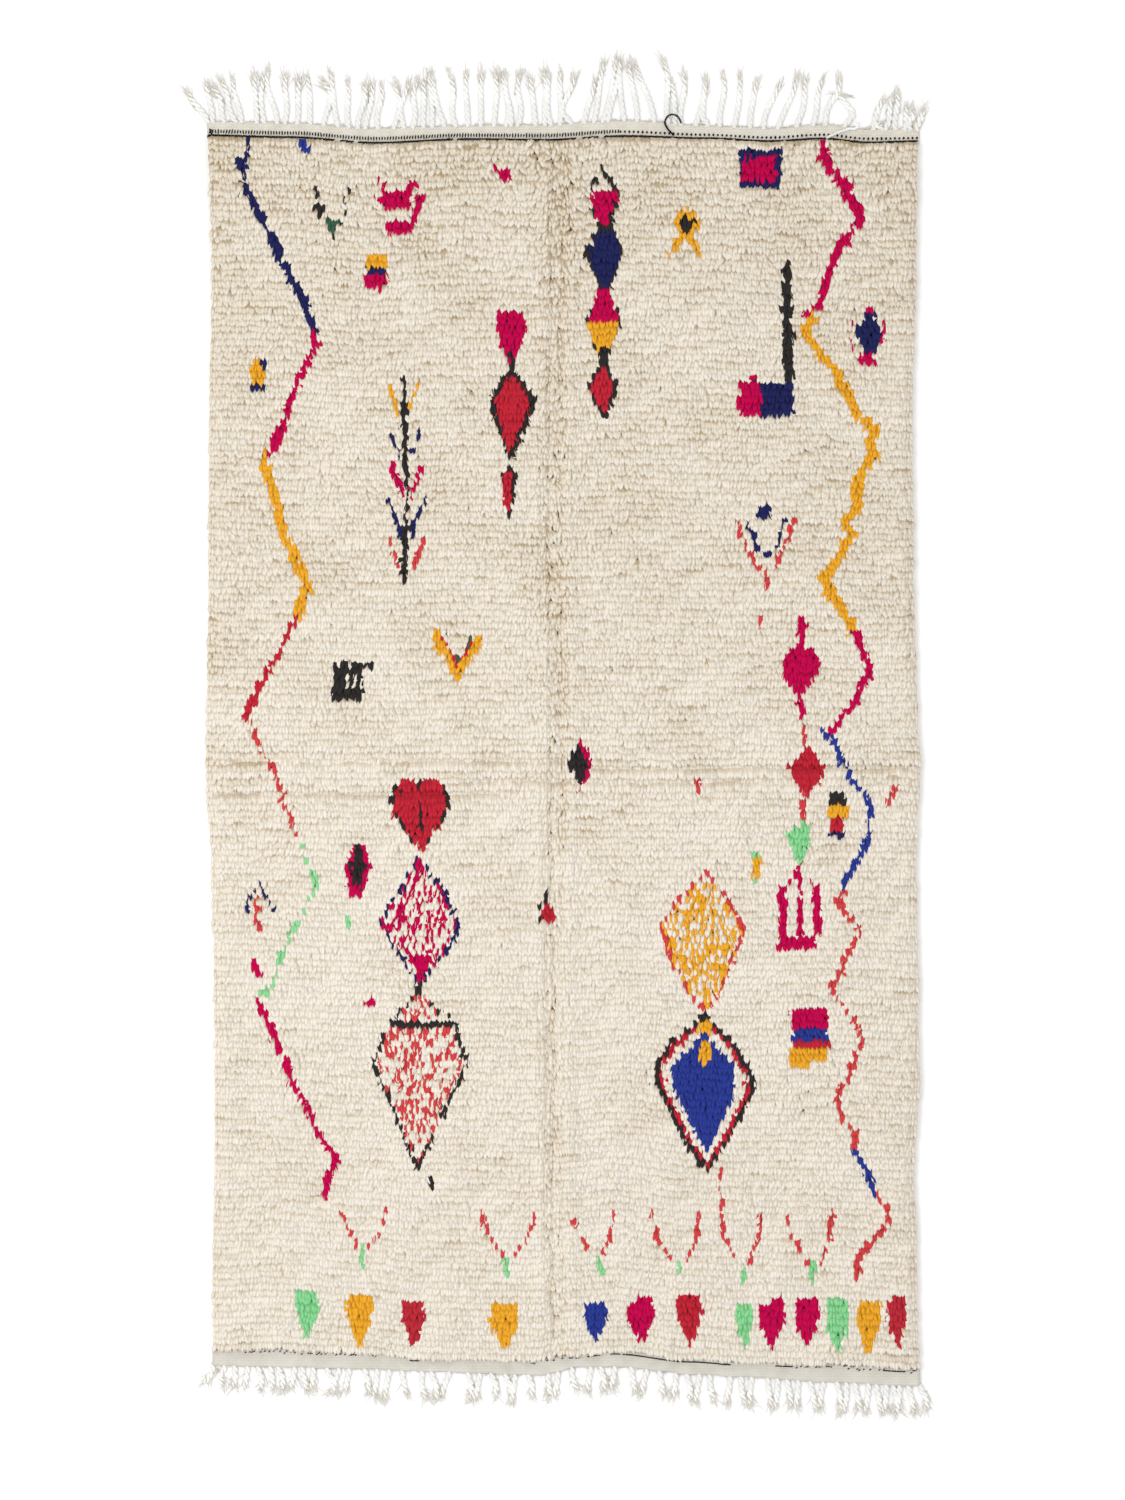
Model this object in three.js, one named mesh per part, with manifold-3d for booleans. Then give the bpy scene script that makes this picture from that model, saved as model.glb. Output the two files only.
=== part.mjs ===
// Knotted wool rug with a deep ivory pile, lying flat, with a flat-woven end and a warp fringe at each end.
// Millimetres. +Y runs along the rug to its long fringe, +X to its right edge, +Z up from the floor.
import * as THREE from "three";
import { mergeVertices } from "three/addons/utils/BufferGeometryUtils.js";
import Module from "manifold-3d";

const wasm = await Module();
wasm.setup();

// Driving dimensions
const halfWidth = 750; // of the loom's even grid, before the outline bends it
const halfLength = 1300;
const bendLength = 1000; // length over which the waves of the ends fade out towards the middle
const pileHeight = 22; // from the floor to the top of the pile
const rimHeight = 13; // top of the pile at the very rim
const rimRound = 42; // width over which the pile rises to its full height
const sideBulge = 3; // the pile leans out over its side edges
const rimLine = 18; // the first grid line in from the rim
const lumps = { height: 3, across: 130, along: 190 };
const seam = 0.3; // gap between neighbouring pieces
const pileStep = 72; // pitch of the slab's grid
const lockPitch = 52; // pitch of the loose locks round the rim
const floorTrim = 4; // what is cut away to leave the underside flat
const trimBlock = { width: 1700, length: 2900, height: 40 };

// The frame's origin is under the middle of the whole outline, fringes and all
const fieldMiddle = { x: 8.9, y: -20.8 };

// Outline of the pile: side edges at stations along the rug
const sideEdges = [
  { y: -1320, left: -744, right: 758 },
  { y: -1100, left: -746, right: 755 },
  { y: -850, left: -742, right: 748 },
  { y: -680, left: -742, right: 761 },
  { y: -540, left: -743, right: 757 },
  { y: -240, left: -750, right: 753 },
  { y: -40, left: -761, right: 761 },
  { y: 100, left: -759, right: 755 },
  { y: 400, left: -755, right: 747 },
  { y: 700, left: -754, right: 744 },
  { y: 1000, left: -748, right: 751 },
  { y: 1320, left: -756, right: 757 },
];

// Where the pile stops and where the flat-woven end stops, at stations across the rug
const topEnd = [
  { x: -760, pile: 1300, woven: 1334 },
  { x: -580, pile: 1296, woven: 1331 },
  { x: -400, pile: 1284, woven: 1320 },
  { x: -200, pile: 1292, woven: 1325 },
  { x: -40, pile: 1290, woven: 1327 },
  { x: 130, pile: 1298, woven: 1337 },
  { x: 300, pile: 1294, woven: 1326 },
  { x: 440, pile: 1288, woven: 1320 },
  { x: 550, pile: 1293, woven: 1328 },
  { x: 650, pile: 1285, woven: 1318 },
  { x: 760, pile: 1288, woven: 1317 },
];
const bottomEnd = [
  { x: -760, pile: -1276, woven: -1312 },
  { x: -420, pile: -1283, woven: -1321 },
  { x: -310, pile: -1295, woven: -1325 },
  { x: -60, pile: -1301, woven: -1331 },
  { x: 110, pile: -1284, woven: -1313 },
  { x: 270, pile: -1296, woven: -1328 },
  { x: 380, pile: -1306, woven: -1343 },
  { x: 560, pile: -1310, woven: -1347 },
  { x: 760, pile: -1318, woven: -1357 },
];

// The lengthwise fold wanders a little about the rug's middle
const lengthFold = { width: 15, depth: 5, shoulder: 2.2, reach: 50, step: 15, pull: 220 };
const foldLine = [
  { y: -1320, x: -12 },
  { y: -700, x: -24 },
  { y: -300, x: -20 },
  { y: 100, x: -10 },
  { y: 450, x: -26 },
  { y: 900, x: -14 },
  { y: 1320, x: -4 },
];

// The crosswise fold is a few partings of the pile side by side
const crossFold = { width: 11, from: -105, to: 5, step: 14, fade: 80 };
const partings = [
  { y: -12, from: -760, to: 40, depth: 3.2 },
  { y: -34, from: 40, to: 760, depth: 4.2 },
  { y: -60, from: -320, to: 420, depth: 2.4 },
  { y: -90, from: -760, to: -120, depth: 3.6 },
];

// Section across each flat-woven end, from the pile outwards: the dark twined rows stand a little proud
const topSection = [
  { across: 0, height: 3.6 },
  { across: 0.12, height: 5.4 },
  { across: 0.3, height: 4.4 },
  { across: 0.45, height: 5 },
  { across: 0.62, height: 4.2 },
  { across: 0.9, height: 4.2 },
  { across: 1, height: 2.8 },
];
const bottomSection = [
  { across: 0, height: 3.6 },
  { across: 0.14, height: 5.2 },
  { across: 0.34, height: 4.2 },
  { across: 0.72, height: 5.4 },
  { across: 0.92, height: 5 },
  { across: 1, height: 2.8 },
];

// A fringe cord from its root to its teased-out tip
const longCord = [
  { along: 0, width: 9, height: 3.6 },
  { along: 0.3, width: 9, height: 5.5 },
  { along: 0.64, width: 9, height: 5.5 },
  { along: 0.85, width: 17, height: 7 },
  { along: 1, width: 9, height: 3.5 },
];
const shortCord = [
  { along: 0, width: 8, height: 3.4 },
  { along: 0.5, width: 8, height: 5 },
  { along: 0.78, width: 17, height: 7 },
  { along: 1, width: 9, height: 4 },
];
const cordTop = 0.72; // a cord's top is narrower than its base
const rootDepth = 9; // how far a cord's root runs into the woven end
const cordGap = 2.5; // least room between two tips
const cordBow = 3;
const cordSpread = 5; // how much the lengths vary within a bunch

// Bunches of fringe cords: first and last root, first and last tip, first and last length, and sideways bow
const topFringe = [
  { cords: 5, root: [-755, -683], tip: [-795, -702], reach: [58, 88], bow: -1 },
  { cords: 3, root: [-651, -606], tip: [-660, -628], reach: [100, 104], bow: 0 },
  { cords: 3, root: [-591, -537], tip: [-592, -541], reach: [98, 96], bow: 1 },
  { cords: 3, root: [-509, -455], tip: [-514, -458], reach: [92, 112], bow: 2 },
  { cords: 3, root: [-437, -392], tip: [-426, -386], reach: [98, 96], bow: -1 },
  { cords: 2, root: [-361, -337], tip: [-358, -330], reach: [98, 96], bow: 1 },
  { cords: 4, root: [-321, -253], tip: [-309, -273], reach: [100, 106], bow: -1 },
  { cords: 6, root: [-227, -98], tip: [-240, -93], reach: [118, 118], bow: 1 },
  { cords: 5, root: [-58, 18], tip: [-70, 25], reach: [108, 118], bow: -1 },
  { cords: 4, root: [44, 98], tip: [64, 114], reach: [96, 126], bow: -1 },
  { cords: 3, root: [131, 193], tip: [133, 163], reach: [122, 118], bow: 2 },
  { cords: 4, root: [225, 307], tip: [210, 299], reach: [138, 100], bow: -1 },
  { cords: 3, root: [333, 398], tip: [339, 411], reach: [112, 106], bow: -1 },
  { cords: 3, root: [426, 497], tip: [464, 515], reach: [100, 112], bow: -2 },
  { cords: 3, root: [530, 597], tip: [548, 591], reach: [106, 84], bow: -1 },
  { cords: 4, root: [656, 706], tip: [668, 712], reach: [80, 84], bow: 0 },
  { cords: 3, root: [724, 750], tip: [729, 765], reach: [58, 60], bow: 0 },
];
const bottomFringe = [
  { cords: 3, root: [-740, -697], tip: [-755, -700], reach: [54, 56], bow: 1 },
  { cords: 4, root: [-670, -604], tip: [-674, -598], reach: [58, 60], bow: 0 },
  { cords: 3, root: [-570, -530], tip: [-572, -530], reach: [58, 58], bow: -1 },
  { cords: 3, root: [-500, -454], tip: [-496, -443], reach: [58, 76], bow: 1 },
  { cords: 4, root: [-420, -341], tip: [-424, -337], reach: [60, 74], bow: 0 },
  { cords: 3, root: [-299, -242], tip: [-295, -259], reach: [76, 72], bow: 1 },
  { cords: 3, root: [-201, -151], tip: [-210, -148], reach: [70, 70], bow: -1 },
  { cords: 3, root: [-121, -72], tip: [-108, -70], reach: [68, 70], bow: 1 },
  { cords: 3, root: [-32, 19], tip: [-36, 36], reach: [68, 64], bow: 0 },
  { cords: 3, root: [59, 108], tip: [57, 100], reach: [64, 62], bow: -1 },
  { cords: 4, root: [146, 240], tip: [142, 225], reach: [64, 64], bow: 0 },
  { cords: 3, root: [263, 314], tip: [261, 312], reach: [68, 72], bow: 1 },
  { cords: 3, root: [356, 401], tip: [350, 392], reach: [72, 74], bow: -1 },
  { cords: 3, root: [435, 477], tip: [428, 471], reach: [76, 78], bow: 1 },
  { cords: 3, root: [500, 553], tip: [496, 547], reach: [76, 74], bow: 0 },
  { cords: 4, root: [583, 649], tip: [587, 653], reach: [76, 76], bow: 1 },
  { cords: 4, root: [670, 718], tip: [676, 734], reach: [74, 72], bow: 1 },
  { cords: 2, root: [736, 752], tip: [754, 776], reach: [66, 58], bow: 1 },
];

// Two loose yarn ends lie on the long-fringed end: the dark twining yarn and a strand of white pile yarn
const darkYarn = {
  radius: 2,
  steps: 22,
  sides: 6,
  route: [
    [235, 1303, 7.8],
    [223, 1316, 7.4],
    [216, 1330, 8.4],
    [222, 1343, 9.5],
    [234, 1347, 9.5],
    [245, 1341, 9],
    [251, 1329, 7.6],
  ],
};
const whiteYarn = {
  radius: 3,
  steps: 14,
  sides: 6,
  route: [
    [559, 1297, 9.2],
    [573, 1304, 8.6],
    [589, 1311, 8.1],
    [607, 1317, 8],
    [621, 1314, 8],
  ],
};

// Loose locks along the side edges and at the short-fringed end: span, root and the way out to the tip
const sideLock = {
  from: -1235,
  to: 1255,
  stray: 9,
  inset: 9,
  height: 8.5,
  out: 19,
  along: -7,
  drop: -4,
  radius: 8,
};
const endLock = {
  from: -712,
  to: 722,
  stray: 10,
  inset: 9,
  height: 13,
  out: 19,
  aside: 5,
  drop: -3,
  radius: 6.5,
};

const colours = { pile: 0xe0d5c3, woven: 0xd9d3c4, dark: 0x3a3834, white: 0xe9e2d3 };

// A repeatable scatter between -1 and 1, one value for each whole number
const wobble = (n) => {
  const scrambled = Math.sin(n * 12.9898 + 4.1) * 43758.5453;
  return (scrambled - Math.floor(scrambled)) * 2 - 1;
};
const mix = (a, b, t) => a + (b - a) * t;

// Reads one column of a table at a place between its rows, easing from row to row
function readTable(table, place, at, column) {
  const last = table.length - 1;
  if (at <= table[0][place]) return table[0][column];
  if (at >= table[last][place]) return table[last][column];
  const next = table.findIndex((row) => row[place] >= at);
  const low = table[next - 1];
  const high = table[next];
  const t = (at - low[place]) / (high[place] - low[place]);
  return mix(low[column], high[column], t * t * (3 - 2 * t));
}

// Evenly spaced places after one line and up to another, about a step apart
function evenly(from, to, step) {
  const count = Math.round((to - from) / step);
  return Array.from({ length: count }, (_, i) => mix(from, to, (i + 1) / count));
}

// Grid lines from one edge to the other, closer together at the rim and across a fold
function gridLines(from, to, fold) {
  const inner = [from + rimLine, ...evenly(from + rimLine, fold.from, pileStep)];
  const beyond = [...evenly(fold.from, fold.to, fold.step), ...evenly(fold.to, to - rimLine, pileStep)];
  return [from, ...inner, ...beyond, to];
}

const { reach: foldReach, step: foldStep } = lengthFold;
const columns = gridLines(-halfWidth, halfWidth, { from: -foldReach, to: foldReach, step: foldStep });
const rows = gridLines(-halfLength, halfLength, crossFold);

// How far a grid column is shifted so that the fine ones follow the wandering fold
const foldShift = (x, y) => readTable(foldLine, "y", y, "x") * Math.exp(-((x / lengthFold.pull) ** 2));

// A point of the pile's plan from its grid column and row
function planPoint(column, row) {
  const nominalY = rows[row];
  const nominalX = columns[column];
  const across = (nominalX + halfWidth) / (2 * halfWidth);
  const along = (nominalY + halfLength) / (2 * halfLength);
  const left = readTable(sideEdges, "y", nominalY, "left");
  const right = readTable(sideEdges, "y", nominalY, "right");
  const x = mix(left, right, across) + foldShift(nominalX, nominalY);
  const top = readTable(topEnd, "x", nominalX, "pile") - seam;
  const bottom = readTable(bottomEnd, "x", nominalX, "pile") + seam;
  const bend = Math.min(Math.abs(nominalY) / bendLength, 1);
  const y = mix(nominalY, mix(bottom, top, along), bend);
  return { x, y };
}

// Height of the pile: rounded at the rim, lumpy, and parted along the folds
function pileSurface(column, row) {
  const { x, y } = planPoint(column, row);
  const fromRim = Math.min(halfWidth - Math.abs(columns[column]), halfLength - Math.abs(rows[row]));
  const climb = Math.min(fromRim / rimRound, 1);
  const round = Math.sqrt(1 - (1 - climb) ** 2);
  const wave = Math.sin(x / lumps.across + y / lumps.along);
  const lump = (wobble(column * 61 + row * 17) + wave) * lumps.height * 0.5;
  const aside = Math.abs(x - readTable(foldLine, "y", y, "x"));
  const trough = lengthFold.depth * Math.exp(-((aside / lengthFold.width) ** 2));
  const beside = (aside - 2 * lengthFold.width) / lengthFold.width;
  const shoulder = lengthFold.shoulder * Math.exp(-(beside ** 2));
  const parted = partings.reduce((sum, part) => {
    const ends = Math.min(Math.max(Math.min(x - part.from, part.to - x) / crossFold.fade + 0.5, 0), 1);
    return sum + ends * part.depth * Math.exp(-(((y - part.y) / crossFold.width) ** 2));
  }, 0);
  return mix(rimHeight, pileHeight, round) + lump * climb + (shoulder - trough - parted) * climb;
}

// A closed triangle mesh as a solid that can be joined and cut
function solid(geometry) {
  const bare = geometry.clone();
  bare.deleteAttribute("normal");
  bare.deleteAttribute("uv");
  const merged = mergeVertices(bare, 1e-4);
  return new wasm.Manifold(
    new wasm.Mesh({
      numProp: 3,
      vertProperties: new Float32Array(merged.attributes.position.array),
      triVerts: new Uint32Array(merged.index.array),
    }),
  );
}

function geometryOf(body) {
  const mesh = body.getMesh();
  const geometry = new THREE.BufferGeometry();
  geometry.setAttribute("position", new THREE.BufferAttribute(mesh.vertProperties, 3));
  geometry.setIndex(new THREE.BufferAttribute(mesh.triVerts, 1));
  geometry.computeVertexNormals();
  return geometry;
}

// Moves every point of a unit box with the given divisions by its place in the box's grid
function gridBox(acrossCount, alongCount, upCount, place) {
  const geometry = new THREE.BoxGeometry(1, 1, 1, acrossCount, alongCount, upCount);
  const points = geometry.attributes.position;
  for (let i = 0; i < points.count; i += 1) {
    const column = Math.round((points.getX(i) + 0.5) * acrossCount);
    const row = Math.round((points.getY(i) + 0.5) * alongCount);
    const layer = Math.round((points.getZ(i) + 0.5) * upCount);
    const { x, y, z } = place(column, row, layer);
    points.setXYZ(i, x, y, z);
  }
  return geometry;
}

// One loose lock at the rim, a four-sided taper from inside the slab to its tip
function rimLock(root, out, width) {
  const geometry = new THREE.ConeGeometry(width, out.length(), 4, 1);
  geometry.rotateY(Math.PI / 4);
  geometry.translate(0, out.length() / 2, 0);
  const turn = new THREE.Quaternion().setFromUnitVectors(new THREE.Vector3(0, 1, 0), out.clone().normalize());
  geometry.applyQuaternion(turn);
  geometry.translate(root.x, root.y, root.z);
  return solid(geometry);
}

// Locks along both side edges, lying over towards the short-fringed end
function sideLocks() {
  const locks = [];
  const { from, to, stray, inset, height, out, along, drop, radius } = sideLock;
  const count = Math.floor((to - from) / lockPitch);
  for (let i = 0; i <= count; i += 1) {
    for (const side of [-1, 1]) {
      const n = i * 2 + side;
      const y = mix(from, to, i / count) + wobble(n) * stray;
      const edge = readTable(sideEdges, "y", y, side < 0 ? "left" : "right");
      const root = new THREE.Vector3(edge - side * inset, y, height + wobble(n + 300));
      const way = new THREE.Vector3(side * (out + 4 * wobble(n + 700)), along + 5 * wobble(n + 900), drop);
      locks.push(rimLock(root, way, radius + wobble(n + 500)));
    }
  }
  return locks;
}

// Locks of the last knot rows, hanging over the flat-woven end of the short fringe
function endLocks() {
  const locks = [];
  const { from, to, stray, inset, height, out, aside, drop, radius } = endLock;
  const count = Math.floor((to - from) / lockPitch);
  for (let i = 0; i <= count; i += 1) {
    const x = mix(from, to, i / count) + wobble(i + 40) * stray;
    const edge = readTable(bottomEnd, "x", x, "pile");
    const root = new THREE.Vector3(x, edge + inset, height);
    const way = new THREE.Vector3(aside * wobble(i + 60), -out - 3 * wobble(i + 80), drop);
    locks.push(rimLock(root, way, radius));
  }
  return locks;
}

// The knotted pile on its ground cloth, as one slab with a flat underside
function pileField() {
  const lastColumn = columns.length - 1;
  const lastRow = rows.length - 1;
  const slab = gridBox(lastColumn, lastRow, 2, (column, row, layer) => {
    const { x, y } = planPoint(column, row);
    const side = column === 0 ? -1 : column === lastColumn ? 1 : 0;
    const heights = [-floorTrim, rimHeight / 2, pileSurface(column, row)];
    return { x: x + (layer === 1 ? side * sideBulge : 0), y, z: heights[layer] };
  });
  const below = new THREE.BoxGeometry(trimBlock.width, trimBlock.length, trimBlock.height);
  below.translate(0, 0, -trimBlock.height / 2);
  const whole = [...sideLocks(), ...endLocks()].reduce((sum, lock) => sum.add(lock), solid(slab));
  return geometryOf(whole.subtract(solid(below)));
}

// A fringe cord lying level on the floor, swept through its table of widths and heights
function fringeCord(section, root, tip, bow, tipWidth) {
  const rings = section.length - 1;
  const geometry = new THREE.CylinderGeometry(1, 1, 1, 4, rings, false, Math.PI / 4);
  const points = geometry.attributes.position;
  const corner = Math.SQRT1_2;
  const heading = new THREE.Vector2(tip.x - root.x, tip.y - root.y).normalize();
  const sideways = new THREE.Vector2(heading.y, -heading.x);
  for (let i = 0; i < points.count; i += 1) {
    const ring = section[Math.round((points.getY(i) + 0.5) * rings)];
    const up = (points.getZ(i) / corner + 1) / 2;
    const width = Math.min(ring.width, tipWidth) * mix(1, cordTop, up);
    const offset = (points.getX(i) / corner) * width * 0.5 + bow * Math.sin(Math.PI * ring.along);
    const x = mix(root.x, tip.x, ring.along) + sideways.x * offset;
    const y = mix(root.y, tip.y, ring.along) + sideways.y * offset;
    points.setXYZ(i, x, y, ring.height * up);
  }
  return solid(geometry);
}

// All the cords of one end; outward is 1 for the long fringe and -1 for the short one
function fringe(bunches, section, end, outward) {
  return bunches.flatMap((bunch, number) =>
    Array.from({ length: bunch.cords }, (_, i) => {
      const t = i / (bunch.cords - 1);
      const rootX = mix(...bunch.root, t);
      const tipX = mix(...bunch.tip, t);
      const edge = readTable(end, "x", rootX, "woven");
      const reach = mix(...bunch.reach, t) + cordSpread * wobble(number * 7 + i * 3 + outward);
      const pitch = Math.abs(bunch.tip[1] - bunch.tip[0]) / (bunch.cords - 1);
      const root = { x: rootX, y: edge - outward * rootDepth };
      const tip = { x: tipX, y: edge + outward * reach };
      return fringeCord(section, root, tip, bunch.bow * cordBow * outward, pitch - cordGap);
    }),
  );
}

// A flat-woven end with its fringe, as wavy as the pile's end that it runs along
function wovenEnd(end, section, bunches, cordSection, outward) {
  const lastColumn = columns.length - 1;
  const lastRow = section.length - 1;
  const pileRow = outward > 0 ? rows.length - 1 : 0;
  const strip = gridBox(lastColumn, lastRow, 1, (column, row, layer) => {
    const { across, height } = section[outward > 0 ? row : lastRow - row];
    const inner = planPoint(column, pileRow);
    const outerY = readTable(end, "x", columns[column], "woven");
    const y = mix(inner.y + outward * seam, outerY, across);
    return { x: inner.x, y, z: layer * height };
  });
  const cords = fringe(bunches, cordSection, end, outward);
  return geometryOf(cords.reduce((sum, cord) => sum.add(cord), solid(strip)));
}

// A loose yarn end along its route
function looseYarn({ radius, steps, sides, route }) {
  const curve = new THREE.CatmullRomCurve3(route.map((point) => new THREE.Vector3(...point)));
  const outline = Array.from({ length: sides }, (_, i) => {
    const angle = (i / sides) * Math.PI * 2;
    return new THREE.Vector2(radius * Math.cos(angle), radius * Math.sin(angle));
  });
  const options = { steps, extrudePath: curve, bevelEnabled: false };
  return new THREE.ExtrudeGeometry(new THREE.Shape(outline), options);
}

const rug = new THREE.Group();
rug.position.set(fieldMiddle.x, fieldMiddle.y, 0);

function addPiece(name, geometry, color, roughness) {
  const mesh = new THREE.Mesh(geometry, new THREE.MeshStandardMaterial({ color, roughness, metalness: 0 }));
  mesh.name = name;
  rug.add(mesh);
}

const longEnd = wovenEnd(topEnd, topSection, topFringe, longCord, 1);
const shortEnd = wovenEnd(bottomEnd, bottomSection, bottomFringe, shortCord, -1);

addPiece("pile_field", pileField(), colours.pile, 0.95);
addPiece("woven_end_top", longEnd, colours.woven, 0.9);
addPiece("woven_end_bottom", shortEnd, colours.woven, 0.9);
addPiece("dark_yarn_end", looseYarn(darkYarn), colours.dark, 0.9);
addPiece("white_yarn_end", looseYarn(whiteYarn), colours.white, 0.9);

export default rug;
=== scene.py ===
# Knotted wool rug with a deep ivory pile, lying flat: its knots, weave, motifs, fringes and finish.
# Sizes are millimetres in the rug's own field, +Y towards the long fringe, and become metres in the frame.
import math

import bmesh
import bpy
import numpy as np
from mathutils import Matrix, Vector


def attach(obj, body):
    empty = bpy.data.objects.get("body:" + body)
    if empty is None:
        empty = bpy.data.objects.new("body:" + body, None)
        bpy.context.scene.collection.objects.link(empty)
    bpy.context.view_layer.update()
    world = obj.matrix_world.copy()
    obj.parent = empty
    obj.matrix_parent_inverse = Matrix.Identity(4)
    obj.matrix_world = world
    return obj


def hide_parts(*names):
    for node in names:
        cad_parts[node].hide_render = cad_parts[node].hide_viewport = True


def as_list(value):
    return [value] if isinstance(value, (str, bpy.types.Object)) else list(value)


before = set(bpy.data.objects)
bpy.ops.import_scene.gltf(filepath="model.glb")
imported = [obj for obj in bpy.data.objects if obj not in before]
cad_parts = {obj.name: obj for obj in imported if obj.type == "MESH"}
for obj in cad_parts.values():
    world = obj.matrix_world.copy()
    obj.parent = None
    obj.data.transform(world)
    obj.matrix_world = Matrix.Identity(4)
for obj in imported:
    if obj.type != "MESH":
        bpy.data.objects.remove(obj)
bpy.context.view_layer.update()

MM = 0.001
FIELD_MIDDLE = (8.9, -20.8, 0)

# The loom's even grid
HALF_WIDTH = 750
HALF_LENGTH = 1300
ROW_PITCH = 13.9
KNOT_PITCH = 5.6
KNOT_ASPECT = 0.6
FIRST_ROW = -1281
LAST_ROW = 1298

# Pile
PILE_TOP = 19.5
RIM_TOP = 12.5
RIM_INSET = 7
IVORY_BANDS = 5
LOCK_REACH = 25
LOCK_WIDTH = 12
LOCK_ROOT = 2.5
LOCK_START = 6
LOCK_SHOWN = 0.7
RUFFLED_FROM = 900
GROOVED_COLUMNS = 0.42
GROOVE_DEPTH = 0.8

# One lock from root to tip: shares of its reach, height and width, and its depth
LOCK_STATIONS = (0, 0.16, 0.74, 1)
LOCK_RISE = (0, 0.93, 1, 1.01)
LOCK_TAPER = (0.9, 1, 0.85, 0.28)
LOCK_DEPTHS = (5, 17, 15, 2)

# Dyed locks lie more unevenly than ivory ones, a little higher and packed closer
DYED_LEAN = 11
DYED_RISE = 0.15
DYED_SHRINK = 0.18

# Woven ground and flat-woven strips. A strip's length along the rug is in metres
GROUND_TOP = 3.6
GROUND_THICKNESS = 3.2
STRIP_THICKNESS = 2.4

# Fringe cords
ROOT_DEPTH = 4
ROOT_CENTRE = 2.6
CORD_CENTRE = 3.6
CORD_WIDTH = 14
LONG_RINGS = 20
SHORT_RINGS = 14
LOOSE_RINGS = 26
FLOOR_GAP = 0.25

# Thickness from root to tip of a teased strand and a broken fibre, and a stitch's as shares of its width
STRAND_TAPER = (1.6, 1.9, 1.8, 1.5, 0.5)
FIBRE_TAPER = (1.5, 1.3, 0.5)
STITCH_TAPER = (0.55, 1, 1, 0.55)

# Chart strokes: how much their width wavers and over what length, their gaps, how full a sparse one is, and how
# full the even knots of a chequer are at most
WAVER = 0.13
WAVER_LENGTH = 45
GAP_LENGTH = 26
GAP_LEVEL = -0.85
SPARSE_SHARE = 0.66
CHEQUER_SHARE = 0.92

# Outline of the pile: place along the rug, left edge and right edge
SIDE_EDGES = [
    (-1320, -744, 758), (-1100, -746, 755), (-850, -742, 748), (-680, -742, 761), (-540, -743, 757),
    (-240, -750, 753), (-40, -761, 761), (100, -759, 755), (400, -755, 747), (700, -754, 744),
    (1000, -748, 751), (1320, -756, 757),
]

# Place across the rug, where the pile stops and where the flat-woven end stops
TOP_END = [
    (-760, 1300, 1334), (-580, 1296, 1331), (-400, 1284, 1320), (-200, 1292, 1325), (-40, 1290, 1327),
    (130, 1298, 1337), (300, 1294, 1326), (440, 1288, 1320), (550, 1293, 1328), (650, 1285, 1318),
    (760, 1288, 1317),
]
BOTTOM_END = [
    (-760, -1280, -1309), (-630, -1276, -1313), (-420, -1284, -1317), (-310, -1296, -1322),
    (-60, -1302, -1330), (-20, -1294, -1324), (20, -1290, -1313), (110, -1281, -1312), (270, -1298, -1328),
    (380, -1305, -1334), (560, -1309, -1345), (760, -1319, -1354),
]

# The lengthwise fold wanders a little about the rug's middle
FOLD_LINE = [(-1320, -12), (-700, -24), (-300, -20), (100, -10), (450, -26), (900, -14), (1320, -4)]
FOLD_WIDTH = 16
FOLD_DEPTH = 3
FOLD_SHOULDER = 1.6

# The crosswise fold is a few partings of the pile side by side: place, both ends and depth
PARTINGS = [(-12, -760, 40, 3.2), (-34, 40, 760, 4.2), (-60, -320, 420, 2.4), (-90, -760, -120, 3.6)]
PARTING_WIDTH = 11
PARTING_FADE = 80


def read_table(table, at, column):
    """Reads one column of a table at places between its rows, easing from row to row."""
    rows = np.array(table, float)
    place = rows[:, 0]
    value = rows[:, column]
    at = np.clip(at, place[0], place[-1])
    low = np.clip(np.searchsorted(place, at, side="right") - 1, 0, len(place) - 2)
    t = (at - place[low]) / (place[low + 1] - place[low])
    return value[low] + (value[low + 1] - value[low]) * t * t * (3 - 2 * t)


def drift(x, y, size, seed):
    """Smooth wandering between about -1 and 1, with waves of about the given size."""
    dice = np.random.default_rng(seed)
    total = 0
    for _ in range(7):
        heading = dice.uniform(0, 2 * np.pi)
        turns = 2 * np.pi / (size * dice.uniform(0.6, 1.7))
        start = dice.uniform(0, 2 * np.pi)
        total = total + np.sin((x * np.cos(heading) + y * np.sin(heading)) * turns + start)
    return total / 3


def bell(distance, width):
    """1 in the middle, fading to 0 past the width."""
    return np.exp(-((distance / width) ** 2))


def plan(x, y):
    """Takes a place on the loom's even grid to the rug's own wavy outline."""
    left = read_table(SIDE_EDGES, y, 1)
    right = read_table(SIDE_EDGES, y, 2)
    top = read_table(TOP_END, x, 1)
    bottom = read_table(BOTTOM_END, x, 1)
    bend = np.minimum(np.abs(y) / 1000, 1)
    along = (y + HALF_LENGTH) / (2 * HALF_LENGTH)
    across = (x + HALF_WIDTH) / (2 * HALF_WIDTH)
    return left + (right - left) * across, y + (bottom + (top - bottom) * along - y) * bend


def fold_relief(x, y):
    """How far the folds raise or lower the pile."""
    aside = np.abs(x - read_table(FOLD_LINE, y, 1))
    relief = FOLD_SHOULDER * bell(aside - 2 * FOLD_WIDTH, FOLD_WIDTH)
    relief = relief - FOLD_DEPTH * bell(aside, FOLD_WIDTH)
    for place, start, stop, depth in PARTINGS:
        ends = np.clip(np.minimum(x - start, stop - x) / PARTING_FADE + 0.5, 0, 1)
        relief = relief - ends * depth * bell(y - place, PARTING_WIDTH)
    return relief


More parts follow.
